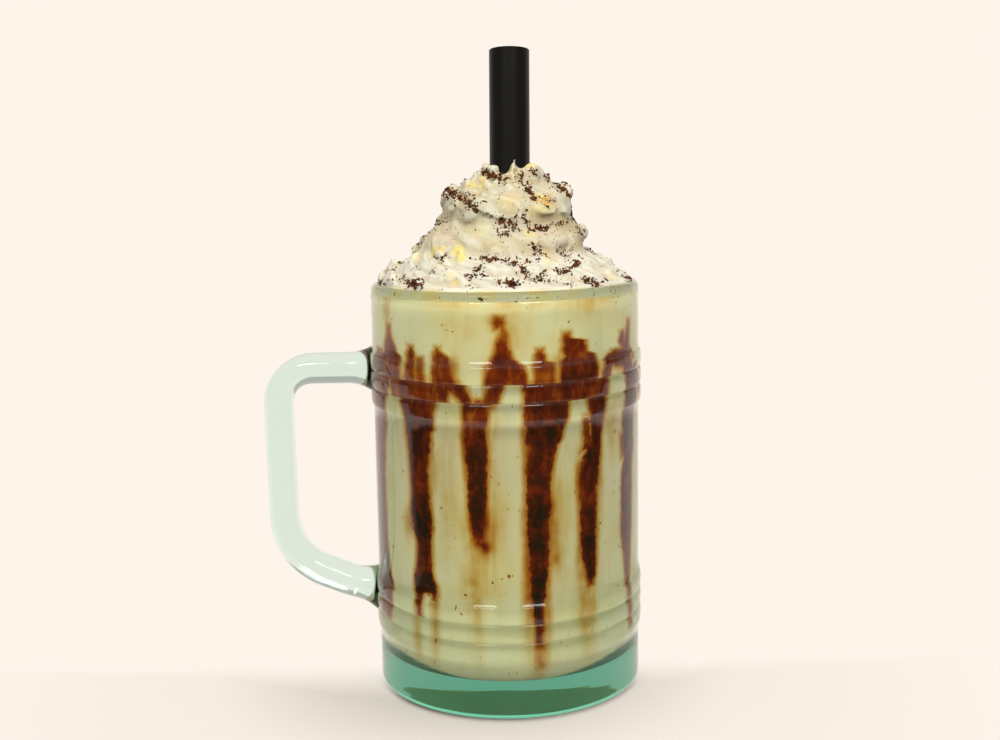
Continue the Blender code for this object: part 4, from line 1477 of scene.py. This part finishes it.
def make_stage():
    scene = bpy.context.scene
    world = bpy.data.worlds.new("studio")
    world.use_nodes = True
    tree = world.node_tree
    back = tree.nodes["Background"]
    back.inputs["Color"].default_value = (*BACK, 1.0)
    scene.world = world

    def step(graph, value, low, high):
        n = graph.nodes.new("ShaderNodeMapRange")
        n.interpolation_type = "SMOOTHSTEP"
        graph.links.new(value, n.inputs["Value"])
        n.inputs["From Min"].default_value = low
        n.inputs["From Max"].default_value = high
        return n.outputs[0]

    def calc(graph, op, a, b, clamp=False):
        n = graph.nodes.new("ShaderNodeMath")
        n.operation, n.use_clamp = op, clamp
        for i, v in enumerate((a, b)):
            if isinstance(v, (int, float)):
                n.inputs[i].default_value = v
            else:
                graph.links.new(v, n.inputs[i])
        return n.outputs[0]

    # A bright wall behind the mug, a darker room behind the camera.
    where = tree.nodes.new("ShaderNodeTexCoord")
    split = tree.nodes.new("ShaderNodeSeparateXYZ")
    tree.links.new(where.outputs["Generated"], split.inputs[0])
    seen = tree.nodes.new("ShaderNodeLightPath").outputs["Is Camera Ray"]
    height = split.outputs[2]

    def between(low, high, share):
        return calc(tree, "ADD", calc(tree, "MULTIPLY", calc(tree, "SUBTRACT", high, low), share), low)

    behind = between(1.0, BACK_HIGH, step(tree, height, 0.15, 0.24))
    before = between(FRONT_LOW, FRONT_HIGH, step(tree, height, 0.20, 0.34))
    light = between(before, behind, step(tree, split.outputs[1], 0.10, 0.62))
    light = between(light, OVERHEAD, step(tree, height, 0.60, 0.85))
    light = calc(tree, "MAXIMUM", light, seen)
    tree.links.new(light, back.inputs["Strength"])

    mesh = bpy.data.meshes.new("floor")
    s = 6.0
    mesh.from_pydata([(-s, -s, 0), (s, -s, 0), (s, s, 0), (-s, s, 0)], [], [(0, 1, 2, 3)])
    floor = bpy.data.objects.new("floor", mesh)
    floor.location.z = -0.0004
    scene.collection.objects.link(floor)
    # pale paper, which fades into the backdrop a little way from the mug
    m = Nodes("pale_floor")
    m.set(Metallic=0.0, Roughness=0.9)
    m.put(m.bsdf.inputs["Specular IOR Level"], 0.0)
    emit = m.node("ShaderNodeEmission")
    emit.inputs["Color"].default_value = (*BACK, 1.0)
    place = m.node("ShaderNodeNewGeometry")
    length = m.node("ShaderNodeVectorMath", operation="LENGTH")
    shifted = m.node("ShaderNodeVectorMath", operation="MULTIPLY_ADD")
    m.link(place.outputs["Position"], shifted.inputs[0])
    shifted.inputs[1].default_value = (1.0, 1.1, 1.0)
    shifted.inputs[2].default_value = (0.0115, 0.0, 0.0)
    m.link(shifted.outputs[0], length.inputs[0])
    # it lies in shade under the foot
    foot = m.node("ShaderNodeVectorMath", operation="LENGTH")
    m.link(place.outputs["Position"], foot.inputs[0])
    pale = (FLOOR_ALBEDO, FLOOR_ALBEDO * 0.965, FLOOR_ALBEDO * 0.89)
    shade = tuple(c * 0.35 for c in pale)
    m.set(Base_Color=m.mix(m.remap(foot.outputs["Value"], 0.0375, 0.0412), shade, pale))
    far = m.math(
        "ADD",
        m.remap(length.outputs["Value"], 0.022, 0.088, 0.0, 0.82),
        m.remap(length.outputs["Value"], 0.080, 0.170, 0.0, 0.18),
    )
    parts = m.node("ShaderNodeSeparateXYZ")
    m.link(place.outputs["Position"], parts.inputs[0])
    front = m.math("MULTIPLY", m.remap(parts.outputs[1], -0.015, -0.06), m.remap(length.outputs["Value"], 0.085, 0.14))
    # no shade falls behind the mug
    rear = m.remap(parts.outputs[1], -0.030, 0.008)
    far = m.math("MAXIMUM", far, rear)
    unseen = m.math("SUBTRACT", 1.0, m.node("ShaderNodeLightPath").outputs["Is Camera Ray"])
    dim = m.math("MULTIPLY", m.math("MULTIPLY", front, unseen), 1 - FRONT_LOW)
    m.put(emit.inputs["Strength"], m.math("SUBTRACT", 1.0, dim))
    mixer = m.node("ShaderNodeMixShader")
    m.link(far, mixer.inputs[0])
    m.link(m.bsdf.outputs[0], mixer.inputs[1])
    m.link(emit.outputs[0], mixer.inputs[2])
    m.link(mixer.outputs[0], m.out.inputs["Surface"])
    mesh.materials.append(m.mat)

    def lamp(name, azimuth, elevation, distance, size, watts, colour=(1, 1, 1), glossy=True):
        data = bpy.data.lights.new(name, "AREA")
        data.shape, data.size, data.size_y = "RECTANGLE", size[0], size[1]
        data.energy, data.color = watts, colour
        lamp = bpy.data.objects.new(name, data)
        a, e = math.radians(azimuth), math.radians(elevation)
        aim = Vector((0, 0, 0.09))
        lamp.location = aim + distance * Vector((math.sin(a) * math.cos(e), -math.cos(a) * math.cos(e), math.sin(e)))
        lamp.rotation_euler = (aim - lamp.location).to_track_quat("-Z", "Y").to_euler()
        lamp.visible_glossy = glossy
        scene.collection.objects.link(lamp)

    lamp("key_left", -23, 36, 1.3, (0.34, 0.95), KEY_WATTS, (1.0, 0.955, 0.90), glossy=False)
    lamp("key_right", 23, 36, 1.3, (0.34, 0.95), KEY_WATTS, (1.0, 0.955, 0.90), glossy=False)
    lamp("glint_left", -23, 36, 1.2, (0.34, 0.22), GLINT_WATTS, (1.0, 0.955, 0.90))
    lamp("glint_right", 23, 36, 1.2, (0.34, 0.22), GLINT_WATTS, (1.0, 0.955, 0.90))

    scene.view_settings.view_transform = "Standard"
    scene.view_settings.look = "None"
    scene.view_settings.exposure = 0.0
    scene.view_settings.gamma = 1.0
    scene.cycles.max_bounces = 16
    scene.cycles.transmission_bounces = 14
    scene.cycles.glossy_bounces = 8
    scene.cycles.diffuse_bounces = 5
    scene.cycles.caustics_refractive = True
    scene.cycles.caustics_reflective = True
    scene.cycles.sample_clamp_indirect = 6.0


def main():
    make_camera()
    make_stage()
    make_mug()
    make_drink()
    cream, tree = make_cream()
    print("crumbs", make_crumbs(tree), "cream faces", len(cream.data.polygons))
    make_straw()
    bpy.context.view_layer.update()


main()
